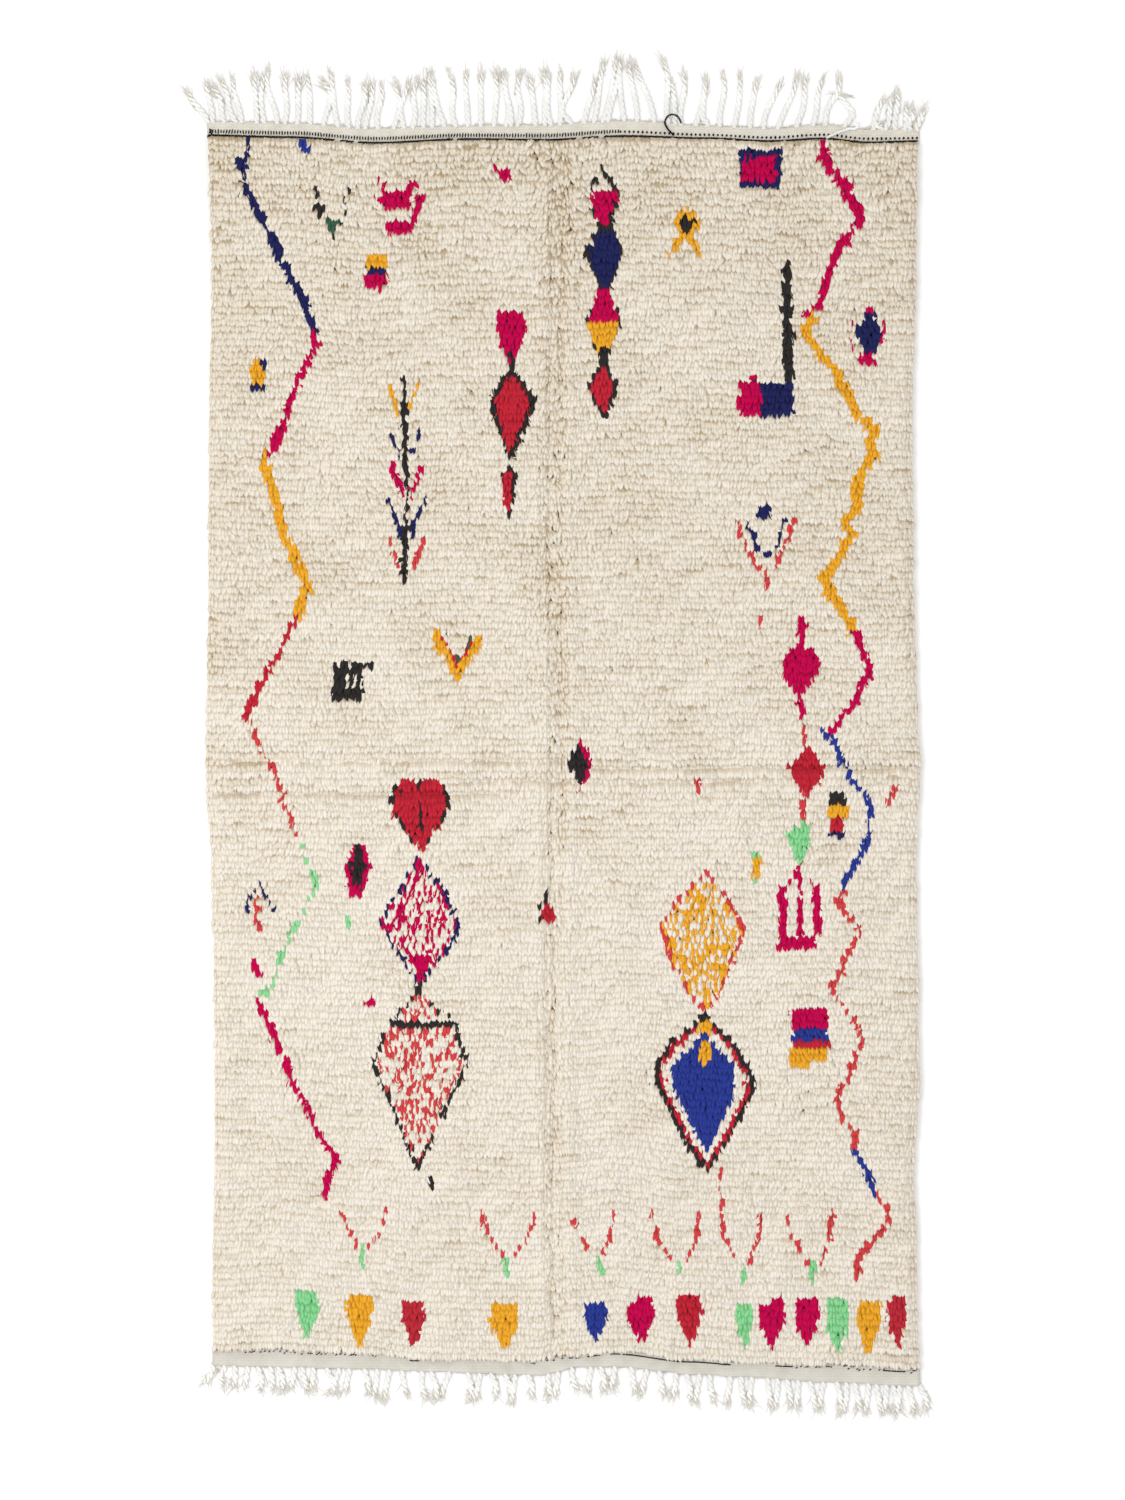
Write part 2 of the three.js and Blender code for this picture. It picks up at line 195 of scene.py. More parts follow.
def stroke(width, *route):
    """A line of knots along a route, thicker and thinner by turns. A knot is taller than it is wide."""

    def covers(x, y):
        nearest = np.full(x.shape, 1e9)
        for (x0, y0), (x1, y1) in zip(route, route[1:]):
            dx = x1 - x0
            dy = y1 - y0
            steep = abs(dy) > 0.6 * abs(dx)
            t = np.clip((y - y0) / dy if steep else (x - x0) / dx, 0, 1)
            aside = np.abs(x - x0 - t * dx) + KNOT_ASPECT * np.abs(y - y0 - t * dy)
            nearest = np.minimum(nearest, aside)
        return nearest < width * (0.5 + WAVER * drift(x, y, WAVER_LENGTH, 21))

    return covers


def dashes(width, *route):
    """A stroke with stretches left out."""
    whole = stroke(width, *route)
    return lambda x, y: whole(x, y) & (drift(x, y, GAP_LENGTH, 22) > GAP_LEVEL)


def sparse(width, *route):
    """A stroke with about a third of its knots left out."""
    whole = stroke(width, *route)
    return lambda x, y: whole(x, y) & (np.random.default_rng(len(route)).uniform(size=x.shape) < SPARSE_SHARE)


def block(x0, y0, width, height):
    return lambda x, y: (np.abs(x - x0) < width / 2) & (np.abs(y - y0) < height / 2)


def tufts(*places):
    """Single knots here and there."""
    marks = [block(x0, y0, KNOT_PITCH, ROW_PITCH) for x0, y0 in places]
    return lambda x, y: np.any([mark(x, y) for mark in marks], axis=0)


def oval(x0, y0, width, height):
    return lambda x, y: np.hypot((x - x0) / width, (y - y0) / height) < 0.5


def lozenge(x0, y0, width, height):
    return lambda x, y: np.abs(x - x0) / width + np.abs(y - y0) / height < 0.5


def wedge(x0, top, width, tip):
    """A triangle that points down."""
    return lambda x, y: (y < top) & (np.abs(x - x0) / width < 0.5 * (y - tip) / (top - tip))


def shield(x0, top, width, tip):
    """Widest a third of the way down, then narrowing in a curve to a point."""

    def covers(x, y):
        down = np.clip((top - y) / (top - tip), 0, 1)
        across = np.minimum(np.minimum(0.88 + 0.4 * down, 1), 1.5 * (1 - down) ** 0.8)
        return (y < top) & (np.abs(x - x0) < width * across / 2)

    return covers


def patch(*corners):
    """Anything inside the corners."""

    def covers(x, y):
        inside = np.zeros(x.shape, bool)
        for (x0, y0), (x1, y1) in zip(corners, [*corners[1:], corners[0]]):
            rise = y1 - y0 if y1 != y0 else 1
            inside ^= ((y0 > y) != (y1 > y)) & (x < (x1 - x0) * (y - y0) / rise + x0)
        return inside

    return covers


def inner(x0, y0, across, along, corners):
    """A patch drawn in towards a middle point."""
    return lambda x, y: patch(*corners)((x - x0) * across + x0, (y - y0) * along + y0)


def rim(width, corners):
    """The broken outline of a patch."""
    return dashes(width, *corners, corners[0])


def speckled(region, share, seed):
    """Knots of one yarn scattered evenly through a region: mostly every other knot, as in a chequer."""

    def covers(x, y):
        even = (np.floor(x / KNOT_PITCH) + np.floor(y / ROW_PITCH)) % 2 < 1
        chance = np.where(even, min(2 * share, CHEQUER_SHARE), max(2 * share - CHEQUER_SHARE, 0))
        return region(x, y) & (np.random.default_rng(seed).uniform(size=x.shape) < chance)

    return covers


# Corners of the four large lozenges
PINK_SPECKLED = [
    (-303, -227), (-342, -296), (-389, -368), (-352, -430), (-322, -486), (-288, -486), (-245, -430),
    (-218, -376), (-256, -296),
]
CORAL_SPECKLED = [
    (-307, -515), (-365, -580), (-405, -664), (-362, -760), (-307, -893), (-252, -770), (-201, -672),
    (-235, -580),
]
AMBER_SPECKLED = [
    (303, -265), (254, -316), (208, -378), (228, -450), (263, -512), (301, -555), (338, -512), (358, -452),
    (382, -388), (346, -320),
]
ROYAL_OUTLINE = [
    (301, -562), (224, -626), (193, -674), (195, -716), (240, -800), (284, -876), (310, -894), (354, -829),
    (404, -733), (409, -695), (364, -626),
]

# The motifs, in the order in which they are laid over the ivory: a yarn, then its marks. A mark's route or
# corners are places across and along the rug
CHART = [
    # Left zigzag, from the long fringe down
    ("navy", stroke(12, (-664, 1290), (-666, 1266)), stroke(9, (-667, 1270), (-685, 1222), (-671, 1180)),
     oval(-682, 1236, 24, 30), stroke(19, (-671, 1180), (-642, 1128), (-604, 1052), (-583, 1008)),
     stroke(18, (-572, 992), (-551, 946), (-527, 878))),
    ("pink", stroke(15, (-529, 872), (-523, 858), (-551, 803), (-562, 782), (-572, 748), (-594, 687)),
     stroke(20, (-594, 687), (-616, 634), (-632, 614)),
     stroke(15, (-647, -538), (-623, -590), (-604, -632), (-587, -660), (-584, -692), (-540, -765)),
     stroke(15, (-540, -765), (-524, -812), (-480, -870), (-494, -903), (-508, -950))),
    ("amber", stroke(23, (-634, 604), (-616, 560), (-606, 500), (-608, 488), (-583, 440), (-545, 345),
     (-560, 290))),
    ("red", dashes(9, (-566, 280), (-596, 212)), stroke(11, (-596, 212), (-626, 160)),
     stroke(17, (-626, 160), (-652, 110), (-670, 70))),
    ("coral", dashes(10, (-662, 54), (-650, 22), (-636, -10), (-613, -47), (-596, -90), (-585, -131),
     (-560, -186))),
    ("mint", sparse(12, (-555, -198), (-541, -237), (-524, -286), (-547, -341), (-582, -410), (-606, -479)),
     sparse(13, (-606, -479), (-634, -524))),
    # Right zigzag
    ("pink", stroke(18, (552, 1276), (551, 1250)),
     stroke(26, (551, 1250), (593, 1205), (606, 1171), (630, 1124)), stroke(14, (630, 1124), (611, 1090)),
     stroke(24, (611, 1090), (584, 1056), (570, 1022)), stroke(19, (570, 1022), (546, 939), (519, 920))),
    ("amber", stroke(21, (530, 909), (512, 888), (540, 842), (575, 800)),
     stroke(27, (575, 800), (593, 764), (625, 709)),
     stroke(22, (625, 709), (665, 670), (651, 650), (658, 624)),
     stroke(24, (660, 624), (622, 556), (624, 509), (602, 478), (613, 450), (554, 352), (615, 250))),
    ("pink", stroke(17, (621, 244), (651, 165), (632, 128), (617, 98), (568, 32))),
    ("royal", stroke(11, (553, 36), (585, -2), (602, -52), (642, -104), (651, -134), (646, -196)),
     stroke(16, (646, -196), (624, -236), (594, -296))),
    ("coral", block(587, -330, 20, 28),
     dashes(11, (594, -312), (581, -336), (632, -388), (596, -460), (570, -515), (615, -579)),
     dashes(12, (615, -579), (638, -617), (602, -700), (577, -746), (594, -787), (624, -824)),
     stroke(15, (624, -820), (617, -842))),
    ("royal", stroke(13, (617, -856), (638, -888), (662, -948))),
    ("coral", stroke(11, (664, -950), (686, -972), (694, -996), (672, -1030)),
     stroke(17, (678, -1022), (636, -1070), (621, -1098), (621, -1118))),
    # Upper left
    ("royal", block(-555, 1281, 11, 13), block(-545, 1267, 25, 13)),
    ("black", tufts((-525, 1180), (-519, 1163), (-465, 1140)), block(-457, 1177, 12, 14),
     block(-461, 1160, 11, 14), block(-515, 1138, 19, 14), block(-517, 1124, 7, 14)),
    ("green", block(-487, 1114, 34, 18), block(-487, 1099, 16, 14)),
    ("black", tufts((-467, 1112), (-487, 1090), (-491, 1078))),
    ("pink", block(-354, 1160, 66, 38), patch((-380, 1119), (-314, 1119), (-320, 1086), (-374, 1086)),
     tufts((-390, 1204), (-379, 1188), (-400, 1159), (-394, 1159), (-381, 1141)), block(-323, 1192, 15, 18),
     stroke(14, (-299, 1166), (-311, 1136), (-318, 1112))),
    ("amber", block(-398, 1014, 46, 72)),
    ("navy", block(-398, 998, 46, 42), block(-645, 791, 20, 72)),
    ("pink", block(-398, 991, 46, 30), tufts((-388, 970)),
     patch((-128, 1236), (-145, 1222), (-137, 1202), (-107, 1198), (-112, 1226))),
    ("amber", oval(-648, 793, 28, 60)),
    ("navy", block(-646, 762, 30, 12), block(-632, 806, 6, 26)),
    # Branch
    ("amber", stroke(8, (-367, 767), (-360, 745), (-348, 716)),
     stroke(8, (-308, 768), (-319, 741), (-326, 718))),
    ("navy", stroke(8, (-367, 666), (-360, 646), (-351, 628), (-341, 614)),
     stroke(7, (-302, 670), (-307, 650)), block(-321, 626, 12, 16),
     stroke(9, (-367, 520), (-359, 503), (-352, 482)), stroke(9, (-292, 520), (-301, 510), (-310, 488)),
     block(-344, 460, 11, 32), block(-318, 462, 11, 34)),
    ("pink", stroke(10, (-363, 599), (-359, 577), (-349, 551), (-342, 530)),
     stroke(11, (-299, 592), (-307, 577), (-316, 551), (-322, 540))),
    ("coral", dashes(8, (-367, 436), (-356, 409), (-347, 380)),
     stroke(8, (-297, 438), (-307, 414), (-316, 384))),
    ("black", stroke(9, (-337, 780), (-338, 723), (-336, 672), (-336, 613), (-331, 562), (-330, 511),
     (-331, 467)), block(-338, 722, 14, 24), block(-335, 611, 15, 34),
     stroke(12, (-331, 467), (-333, 424), (-334, 356))),
    # Chain left of the middle
    ("pink", shield(-109, 928, 60, 806)),
    ("black", stroke(11, (-110, 832), (-108, 800)),
     patch((-109, 810), (-159, 738), (-154, 712), (-126, 640), (-113, 602), (-94, 640), (-56, 726),
     (-57, 744)), patch((-108, 592), (-130, 582), (-127, 520), (-116, 478), (-106, 520), (-100, 578))),
    ("red", patch((-109, 798), (-144, 734), (-142, 714), (-123, 650), (-113, 620), (-102, 650), (-69, 726),
     (-70, 742)), patch((-113, 578), (-132, 572), (-128, 526), (-118, 494), (-112, 530), (-107, 572))),
    # Chain right of the middle
    ("black", stroke(11, (82, 1222), (92, 1214), (108, 1190)), dashes(8, (70, 1202), (58, 1184)),
     patch((50, 1170), (119, 1176), (115, 1146), (98, 1104), (80, 1104), (59, 1144)),
     patch((76, 1106), (106, 1106), (127, 1064), (122, 1040), (97, 968), (80, 968), (49, 1040), (47, 1064)),
     dashes(7, (74, 960), (49, 910), (70, 844)), dashes(7, (98, 952), (121, 908), (100, 850))),
    ("pink", patch((53, 1180), (115, 1180), (111, 1148), (95, 1110), (80, 1110), (61, 1146)),
     patch((75, 969), (97, 969), (108, 936), (118, 903), (54, 903), (64, 936))),
    ("navy", patch((76, 1096), (106, 1096), (122, 1064), (119, 1042), (96, 978), (82, 978), (56, 1040),
     (54, 1064))),
    ("amber", patch((46, 906), (119, 906), (107, 862), (97, 840), (73, 840), (60, 872))),
    ("black", patch((79, 846), (96, 846), (101, 796), (71, 796)),
     patch((86, 818), (53, 770), (54, 758), (79, 706), (89, 695), (113, 754), (113, 774))),
    ("red", patch((85, 810), (58, 768), (60, 756), (81, 716), (87, 710), (106, 756), (106, 772))),
    # Upper right
    ("amber", oval(262, 1113, 48, 64)),
    ("black", block(261, 1108, 25, 40), stroke(12, (477, 1030), (475, 1000)),
     stroke(21, (475, 1006), (473, 960), (476, 880), (482, 772))),
    ("amber", stroke(16, (250, 1082), (225, 1045)), stroke(15, (267, 1082), (291, 1043))),
    ("navy", block(417, 1229, 92, 80), block(454, 743, 72, 68), lozenge(648, 876, 62, 114)),
    ("pink", speckled(block(415, 1253, 74, 12), 0.5, 34), block(415, 1226, 74, 42), block(395, 744, 46, 71),
     lozenge(648, 926, 20, 26), lozenge(645, 820, 44, 36),
     tufts((614, 902), (612, 884), (609, 866), (613, 856)), stroke(8, (616, 850), (632, 828)),
     tufts((681, 904), (679, 890), (680, 878), (672, 854), (664, 844))),
    # Right of the middle
    ("navy", block(424, 499, 24, 26), stroke(13, (389, 474), (400, 451), (412, 424)),
     block(434, 404, 18, 14), dashes(9, (467, 480), (453, 422))),
    ("coral", stroke(9, (368, 474), (382, 441), (412, 384)), stroke(9, (487, 474), (477, 438), (452, 382)),
     block(414, 378, 16, 20), stroke(13, (430, 364), (435, 340)), wedge(419, 284, 18, 248)),
    ("amber", stroke(24, (-267, 232), (-224, 158), (-179, 228)), stroke(8, (-223, 166), (-223, 142))),
    ("red", stroke(6, (-254, 232), (-223, 178), (-192, 224))),
    ("green", block(-222, 188, 12, 14), tufts((-248, 244), (-197, 226), (-203, 214))),
    ("black", block(-457, 141, 58, 74), block(-420, 174, 34, 14)),
    ("ivory", block(-455, 140, 6, 28), block(-438, 136, 6, 28), tufts((-474, 174), (-450, 174))),
    # Chain on the right
    ("pink", stroke(9, (508, 272), (506, 220)), block(508, 252, 18, 20),
     patch((506, 224), (538, 198), (545, 170), (530, 140), (510, 120), (490, 120), (467, 148), (467, 176),
     (480, 206)), stroke(12, (494, 122), (508, 62))),
    ("coral", dashes(8, (511, 46), (513, 16))),
    ("red", lozenge(517, -48, 84, 118), block(518, -58, 56, 34), block(578, -160, 28, 24)),
    ("coral", dashes(8, (512, -104), (510, -148)), stroke(8, (284, -70), (284, -92)), block(284, -82, 18, 8),
     stroke(15, (708, -84), (690, -118))),
    ("mint", patch((512, -150), (476, -178), (480, -206), (504, -256), (520, -212), (525, -180)),
     block(409, -228, 19, 14)),
    ("pink", oval(501, -262, 22, 18), block(464, -356, 16, 142), block(538, -344, 16, 118),
     dashes(11, (502, -276), (502, -400)), block(499, -420, 72, 28),
     dashes(8, (474, -288), (500, -268), (530, -288)), lozenge(38, -40, 56, 108)),
    ("black", block(583, -104, 32, 26), lozenge(34, -37, 48, 92)),
    ("amber", block(581, -133, 44, 30), block(408, -256, 18, 46)),
    ("navy", block(581, -183, 32, 22)),
    ("mint", wedge(404, -276, 16, -292)),
    # Big chain on the left
    ("red", patch((-299, -224), (-326, -190), (-345, -166), (-361, -138), (-364, -112), (-352, -80),
     (-338, -65), (-322, -62), (-303, -78), (-284, -62), (-268, -64), (-250, -82), (-240, -114),
     (-248, -140), (-264, -166), (-278, -190)), patch((-36, -318), (-13, -368), (-55, -368))),
    ("black", dashes(9, (-350, -84), (-362, -114), (-347, -156), (-322, -196)),
     dashes(9, (-252, -84), (-241, -116), (-256, -158), (-281, -196)), stroke(8, (-303, -70), (-303, -110)),
     dashes(9, (-302, -122), (-302, -176))),
    ("pink", speckled(patch(*PINK_SPECKLED), 0.42, 31)),
    ("navy", dashes(7, (-303, -230), (-256, -296), (-218, -376), (-245, -430), (-288, -484), (-300, -506)),
     dashes(7, (-303, -230), (-342, -296), (-389, -368), (-352, -430), (-318, -484), (-308, -506)),
     dashes(9, (-648, -296), (-668, -323), (-672, -342)),
     dashes(9, (-640, -298), (-626, -322), (-612, -346))),
    ("pink", wedge(-304, -440, 46, -512), block(-303, -250, 14, 22),
     patch((-437, -194), (-418, -214), (-410, -250), (-414, -288), (-432, -318), (-448, -312), (-467, -262),
     (-450, -214)), block(-413, -534, 20, 14), tufts((-405, -522), (-403, -547)),
     stroke(15, (-656, -456), (-648, -480))),
    ("coral", speckled(patch(*CORAL_SPECKLED), 0.38, 32),
     dashes(9, (-648, -298), (-648, -332), (-646, -394))),
    ("black", rim(8, CORAL_SPECKLED), stroke(8, (-363, -581), (-234, -589)),
     stroke(11, (-307, -508), (-308, -524)),
     patch((-438, -204), (-424, -224), (-421, -262), (-428, -294), (-447, -292), (-453, -256), (-446, -222)),
     stroke(7, (-32, -302), (-36, -326)), tufts((-48, -344)), block(-32, -370, 36, 10)),
    ("mint", block(-455, -364, 15, 26)),
    # Big chain on the right
    ("amber", speckled(patch(*AMBER_SPECKLED), 0.55, 33)),
    ("coral", rim(8, AMBER_SPECKLED)),
    ("black", patch(*ROYAL_OUTLINE), stroke(7, (-281, -914), (-280, -940))),
    ("red", inner(302, -720, 1.11, 1.08, ROYAL_OUTLINE), block(523, -630, 74, 22)),
    ("ivory", inner(302, -720, 1.24, 1.15, ROYAL_OUTLINE)),
    ("royal", patch((301, -602), (366, -676), (364, -733), (334, -797), (303, -858), (265, -786),
     (233, -723), (236, -670)), block(523, -606, 74, 26)),
    ("amber", block(301, -590, 30, 26), lozenge(303, -648, 36, 62), block(520, -657, 76, 34)),
    ("pink", block(522, -572, 78, 42)),
    # Row of opened arms with mint tips
    ("coral", dashes(6.5, (-475, -978), (-458, -1015), (-434, -1058)),
     dashes(6.5, (-375, -976), (-384, -1022), (-412, -1060)),
     dashes(6.5, (-172, -992), (-155, -1039), (-126, -1076)),
     dashes(6.5, (-57, -986), (-76, -1041), (-104, -1076)),
     dashes(7.5, (18, -1000), (43, -1047), (58, -1074)), dashes(6.5, (110, -980), (100, -1041), (82, -1070)),
     dashes(7.5, (189, -978), (204, -1045), (228, -1090)),
     dashes(6.5, (284, -980), (284, -1035), (262, -1090)),
     dashes(7, (333, -896), (338, -1030), (370, -1096)), dashes(9, (416, -988), (422, -1024), (396, -1090)),
     stroke(8.5, (473, -984), (479, -1026), (526, -1098)),
     dashes(8.5, (568, -986), (563, -1045), (545, -1092))),
    ("mint", stroke(11, (-425, -1066), (-424, -1102)), stroke(10, (-120, -1084), (-118, -1118)),
     stroke(11, (72, -1080), (84, -1114)), stroke(10, (246, -1090), (250, -1116)),
     stroke(10, (382, -1106), (380, -1130)), stroke(13, (530, -1098), (527, -1128))),
    # Shields along the short fringe
    ("mint", shield(-543, -1149, 48, -1253), shield(383, -1174, 42, -1273), shield(583, -1176, 48, -1279)),
    ("amber", shield(-431, -1155, 56, -1271), shield(-124, -1181, 60, -1277), shield(648, -1176, 48, -1289)),
    ("crimson", shield(-318, -1170, 52, -1271), shield(709, -1170, 42, -1275)),
    ("royal", shield(68, -1176, 52, -1259)),
    ("pink", shield(165, -1166, 62, -1263), shield(441, -1174, 58, -1273), shield(517, -1174, 50, -1269)),
    ("red", shield(268, -1164, 54, -1269)),
]

# Each yarn's slot in the record and its colour
YARNS = {
    "ivory": ("pile_ivory", (0.89, 0.85, 0.78)),
    "pink": ("pile_pink", (0.745, 0.0, 0.29)),
    "navy": ("pile_navy", (0.125, 0.14, 0.335)),
    "royal": ("pile_royal", (0.16, 0.22, 0.55)),
    "amber": ("pile_amber", (0.895, 0.64, 0.16)),
    "red": ("pile_red", (0.735, 0.14, 0.205)),
    "crimson": ("pile_red", (0.72, 0.16, 0.215)),
    "coral": ("pile_coral", (0.80, 0.25, 0.26)),
    "mint": ("pile_mint", (0.52, 0.81, 0.56)),
    "black": ("pile_black", (0.18, 0.165, 0.165)),
    "green": ("pile_green", (0.22, 0.36, 0.28)),
}


def charted(x, y):
    """Every mark of the chart in turn: its yarn, and which of the places it covers."""
    for yarn, *marks in CHART:
        for covers in marks:
            yield yarn, covers(x, y)


def linear(colour):
    """A colour as seen on a screen, as the light it stands for, with full alpha."""
    return (*(c / 12.92 if c < 0.04045 else ((c + 0.055) / 1.055) ** 2.4 for c in colour), 1)


def linked(name, data):
    """A new object in the scene, for a mesh, a light or a camera."""
    made = bpy.data.objects.new(name, data)
    bpy.context.collection.objects.link(made)
    return made


def meshed(name, bm):
    """A new piece made of a finished bmesh."""
    mesh = bpy.data.meshes.new(name)
    bm.to_mesh(mesh)
    bm.free()
    return linked(name, mesh)


def headings(paths):
    """The direction of each path at every ring. Paths are yarns by rings by 3."""
    along = np.gradient(paths, axis=1)
    return along / np.linalg.norm(along, axis=2, keepdims=True)


def level_sides(along):
    """The level direction square to each heading."""
    side = np.cross(along, [0, 0, 1.0])
    return side / np.maximum(np.linalg.norm(side, axis=2, keepdims=True), 1e-6)


class Yarn:
    """One short length of yarn as a closed tube: the shape that is copied and bent for each lock or ply."""

    def __init__(self, sides, stations, pointed=True):
        self.stations = np.array(stations)
        bm = bmesh.new()
        bmesh.ops.create_cone(bm, cap_ends=True, segments=sides, radius1=1, radius2=1, depth=1)
        turn = Matrix.Rotation(math.pi / sides, 3, "Z")
        bmesh.ops.rotate(bm, verts=bm.verts, cent=(0, 0, 0), matrix=turn)
        for station in self.stations[1:-1]:
            everything = [*bm.verts, *bm.edges, *bm.faces]
            bmesh.ops.bisect_plane(bm, geom=everything, plane_co=(0, 0, station - 0.5), plane_no=(0, 0, 1))
        if pointed:
            end = [v for v in bm.verts if v.co.z > 0.4999]
            bmesh.ops.pointmerge(bm, verts=end, merge_co=(0, 0, 0.5))
        bmesh.ops.recalc_face_normals(bm, faces=bm.faces[:])
        bm.verts.index_update()
        place = np.array([v.co[:] for v in bm.verts])
        self.ring = np.abs(place[:, 2:] + 0.5 - self.stations).argmin(axis=1)
        self.across = place[:, 0]
        self.up = place[:, 1]
        self.faces = [[v.index for v in face.verts] for face in bm.faces]
        self.wrap = np.array([corner for face in self.faces for corner in self.unrolled(face)])
        bm.free()

    def unrolled(self, face):
        """Places a face's corners on the yarn's own map: round it, then along it."""
        if len({int(self.ring[i]) for i in face}) == 1:
            return [(0.5 + 0.04 * self.across[i], 0.03 + 0.02 * self.up[i]) for i in face]
        turn = [math.atan2(self.across[i], self.up[i]) / (2 * math.pi) % 1 for i in face]
        tips = [abs(self.across[i]) + abs(self.up[i]) < 0.01 for i in face]
        known = [t for t, tip in zip(turn, tips) if not tip]
        if max(known) - min(known) > 0.5:
            known = [t + 1 if t < 0.5 else t for t in known]
            turn = [t + 1 if t < 0.5 else t for t in turn]
        middle = sum(known) / len(known)
        around = [(middle if tip else t) / 1.35 for t, tip in zip(turn, tips)]
        return [(t, 0.08 + 0.9 * self.stations[self.ring[i]]) for t, i in zip(around, face)]

    def sweep(self, path, width, flatness, side=None):
        """Bends a copy along each path, with its width at every ring and its height as a share of that."""
        along = headings(path)
        side = level_sides(along) if side is None else np.broadcast_to(side, path.shape)
        width = np.broadcast_to(width, path.shape[:2])
        height = width * flatness
        sideways = side[:, self.ring] * (width[:, self.ring] * self.across / 2)[..., None]
        upward = np.cross(along, side)[:, self.ring] * (height[:, self.ring] * self.up / 2)[..., None]
        return path[:, self.ring] + sideways + upward


def joined(name, yarn, points, material, numbers, smooth=True):
    """Many bent copies of one yarn as a single piece, with named numbers for each copy."""
    count, size = points.shape[:2]
    corners = np.array([i for face in yarn.faces for i in face])
    starts = np.cumsum([0] + [len(face) for face in yarn.faces[:-1]])
    copies = np.arange(count)[:, None]
    mesh = bpy.data.meshes.new(name)
    mesh.vertices.add(count * size)
    mesh.vertices.foreach_set("co", ((points + np.array(FIELD_MIDDLE)) * MM).astype(np.float32).ravel())
    mesh.loops.add(count * len(corners))
    mesh.loops.foreach_set("vertex_index", (copies * size + corners).astype(np.int32).ravel())
    mesh.polygons.add(count * len(yarn.faces))
    mesh.polygons.foreach_set("loop_start", (copies * len(corners) + starts).astype(np.int32).ravel())
    mesh.update(calc_edges=True)
    if smooth:
        mesh.shade_smooth()
    cells = math.ceil(math.sqrt(count))
    corner = np.stack([copies % cells, copies // cells], axis=2)
    maps = {"Yarn": np.tile(yarn.wrap, (count, 1)), "OFBake": (corner + yarn.wrap * 0.9 + 0.05) / cells}
    for key, places in maps.items():
        layer = mesh.uv_layers.new(name=key)
        layer.uv.foreach_set("vector", places.astype(np.float32).ravel())
    for key, values in numbers.items():
        stored = mesh.attributes.new(key, "FLOAT", "POINT")
        stored.data.foreach_set("value", np.repeat(values, size).astype(np.float32))
    piece = linked(name, mesh)
    mesh.materials.append(material)
    return piece


class Value:
    """A shader socket that takes Python's own arithmetic, adding Math nodes."""

    def __init__(self, shader, socket):
        self.shader = shader
        self.socket = socket

    def math(self, operation, *others):
        return self.shader.node("ShaderNodeMath", {"operation": operation}, [self, *others])

    def __add__(self, other):
        return self.math("ADD", other)

    def __mul__(self, other):
        return self.math("MULTIPLY", other)

    def __sub__(self, other):
        return self.math("SUBTRACT", other)

    def __rsub__(self, other):
        return self.shader.node("ShaderNodeMath", {"operation": "SUBTRACT"}, [other, self])

    __radd__ = __add__
    __rmul__ = __mul__


class Shader:
    """One material's nodes."""

    def __init__(self, name):
        self.material = bpy.data.materials.new(name)
        self.material.use_nodes = True
        self.nodes = self.material.node_tree.nodes
        self.links = self.material.node_tree.links
        self.nodes.clear()

    def node(self, kind, settings, inputs, output=0):
        """Adds a node: its settings first, then its sockets, by name or in order."""
        made = self.nodes.new(kind)
        for key, value in settings.items():
            if key == "stops":
                self.set_stops(made.color_ramp.elements, value)
            else:
                setattr(made, key, value)
        pairs = inputs.items() if isinstance(inputs, dict) else enumerate(inputs)
        for key, value in pairs:
            if isinstance(value, Value):
                self.links.new(value.socket, made.inputs[key])
            else:
                made.inputs[key].default_value = value
        return Value(self, made.outputs[output]) if made.outputs else None

    @staticmethod
    def set_stops(elements, stops):
        while len(elements) < len(stops):
            elements.new(0.5)
        for element, (position, colour) in zip(elements, stops):
            element.position = position
            element.color = linear(colour)

    def attribute(self, name, output="Fac"):
        """A number or a colour stored at the piece's points."""
        return self.node("ShaderNodeAttribute", {"attribute_name": name}, {}, output)

    def parts(self, vector):
        """A vector's three numbers."""
        outputs = self.node("ShaderNodeSeparateXYZ", {}, [vector]).socket.node.outputs
        return [Value(self, outputs[axis]) for axis in ("X", "Y", "Z")]

    def vector(self, *numbers):
        return self.node("ShaderNodeCombineXYZ", {}, numbers)

    def noise(self, vector, scale, detail):
        settings = {"Vector": vector, "Scale": scale, "Detail": detail}
        return self.node("ShaderNodeTexNoise", {}, settings, "Fac")

    def mix(self, share, one, other, blend="MIX"):
        """A colour between two colours, or made of both."""
        settings = {"data_type": "RGBA", "blend_type": blend}
        return self.node("ShaderNodeMix", settings, {0: share, 6: one, 7: other}, 2)

    def ramp(self, value, *stops):
        return self.node("ShaderNodeValToRGB", {"stops": stops}, [value])

    def bump(self, height, strength, distance):
        return self.node("ShaderNodeBump", {}, {"Height": height, "Strength": strength, "Distance": distance})

    def surface(self, sockets):
        """Ends the material in one surface."""
        surface = self.node("ShaderNodeBsdfPrincipled", {}, sockets)
        self.node("ShaderNodeOutputMaterial", {}, {"Surface": surface})
        return self.material

    def cloth(self, colour, normal, roughness, sheen):
        """Ends the material in one matt cloth surface."""
        woolly = {"Specular IOR Level": 0.1, "Sheen Weight": sheen, "Sheen Roughness": 0.45}
        return self.surface({"Base Color": colour, "Normal": normal, "Roughness": roughness, **woolly})


def tinted(colour, strength):
    """A lighter or darker colour."""
    return tuple(min(c * strength, 1) for c in colour)


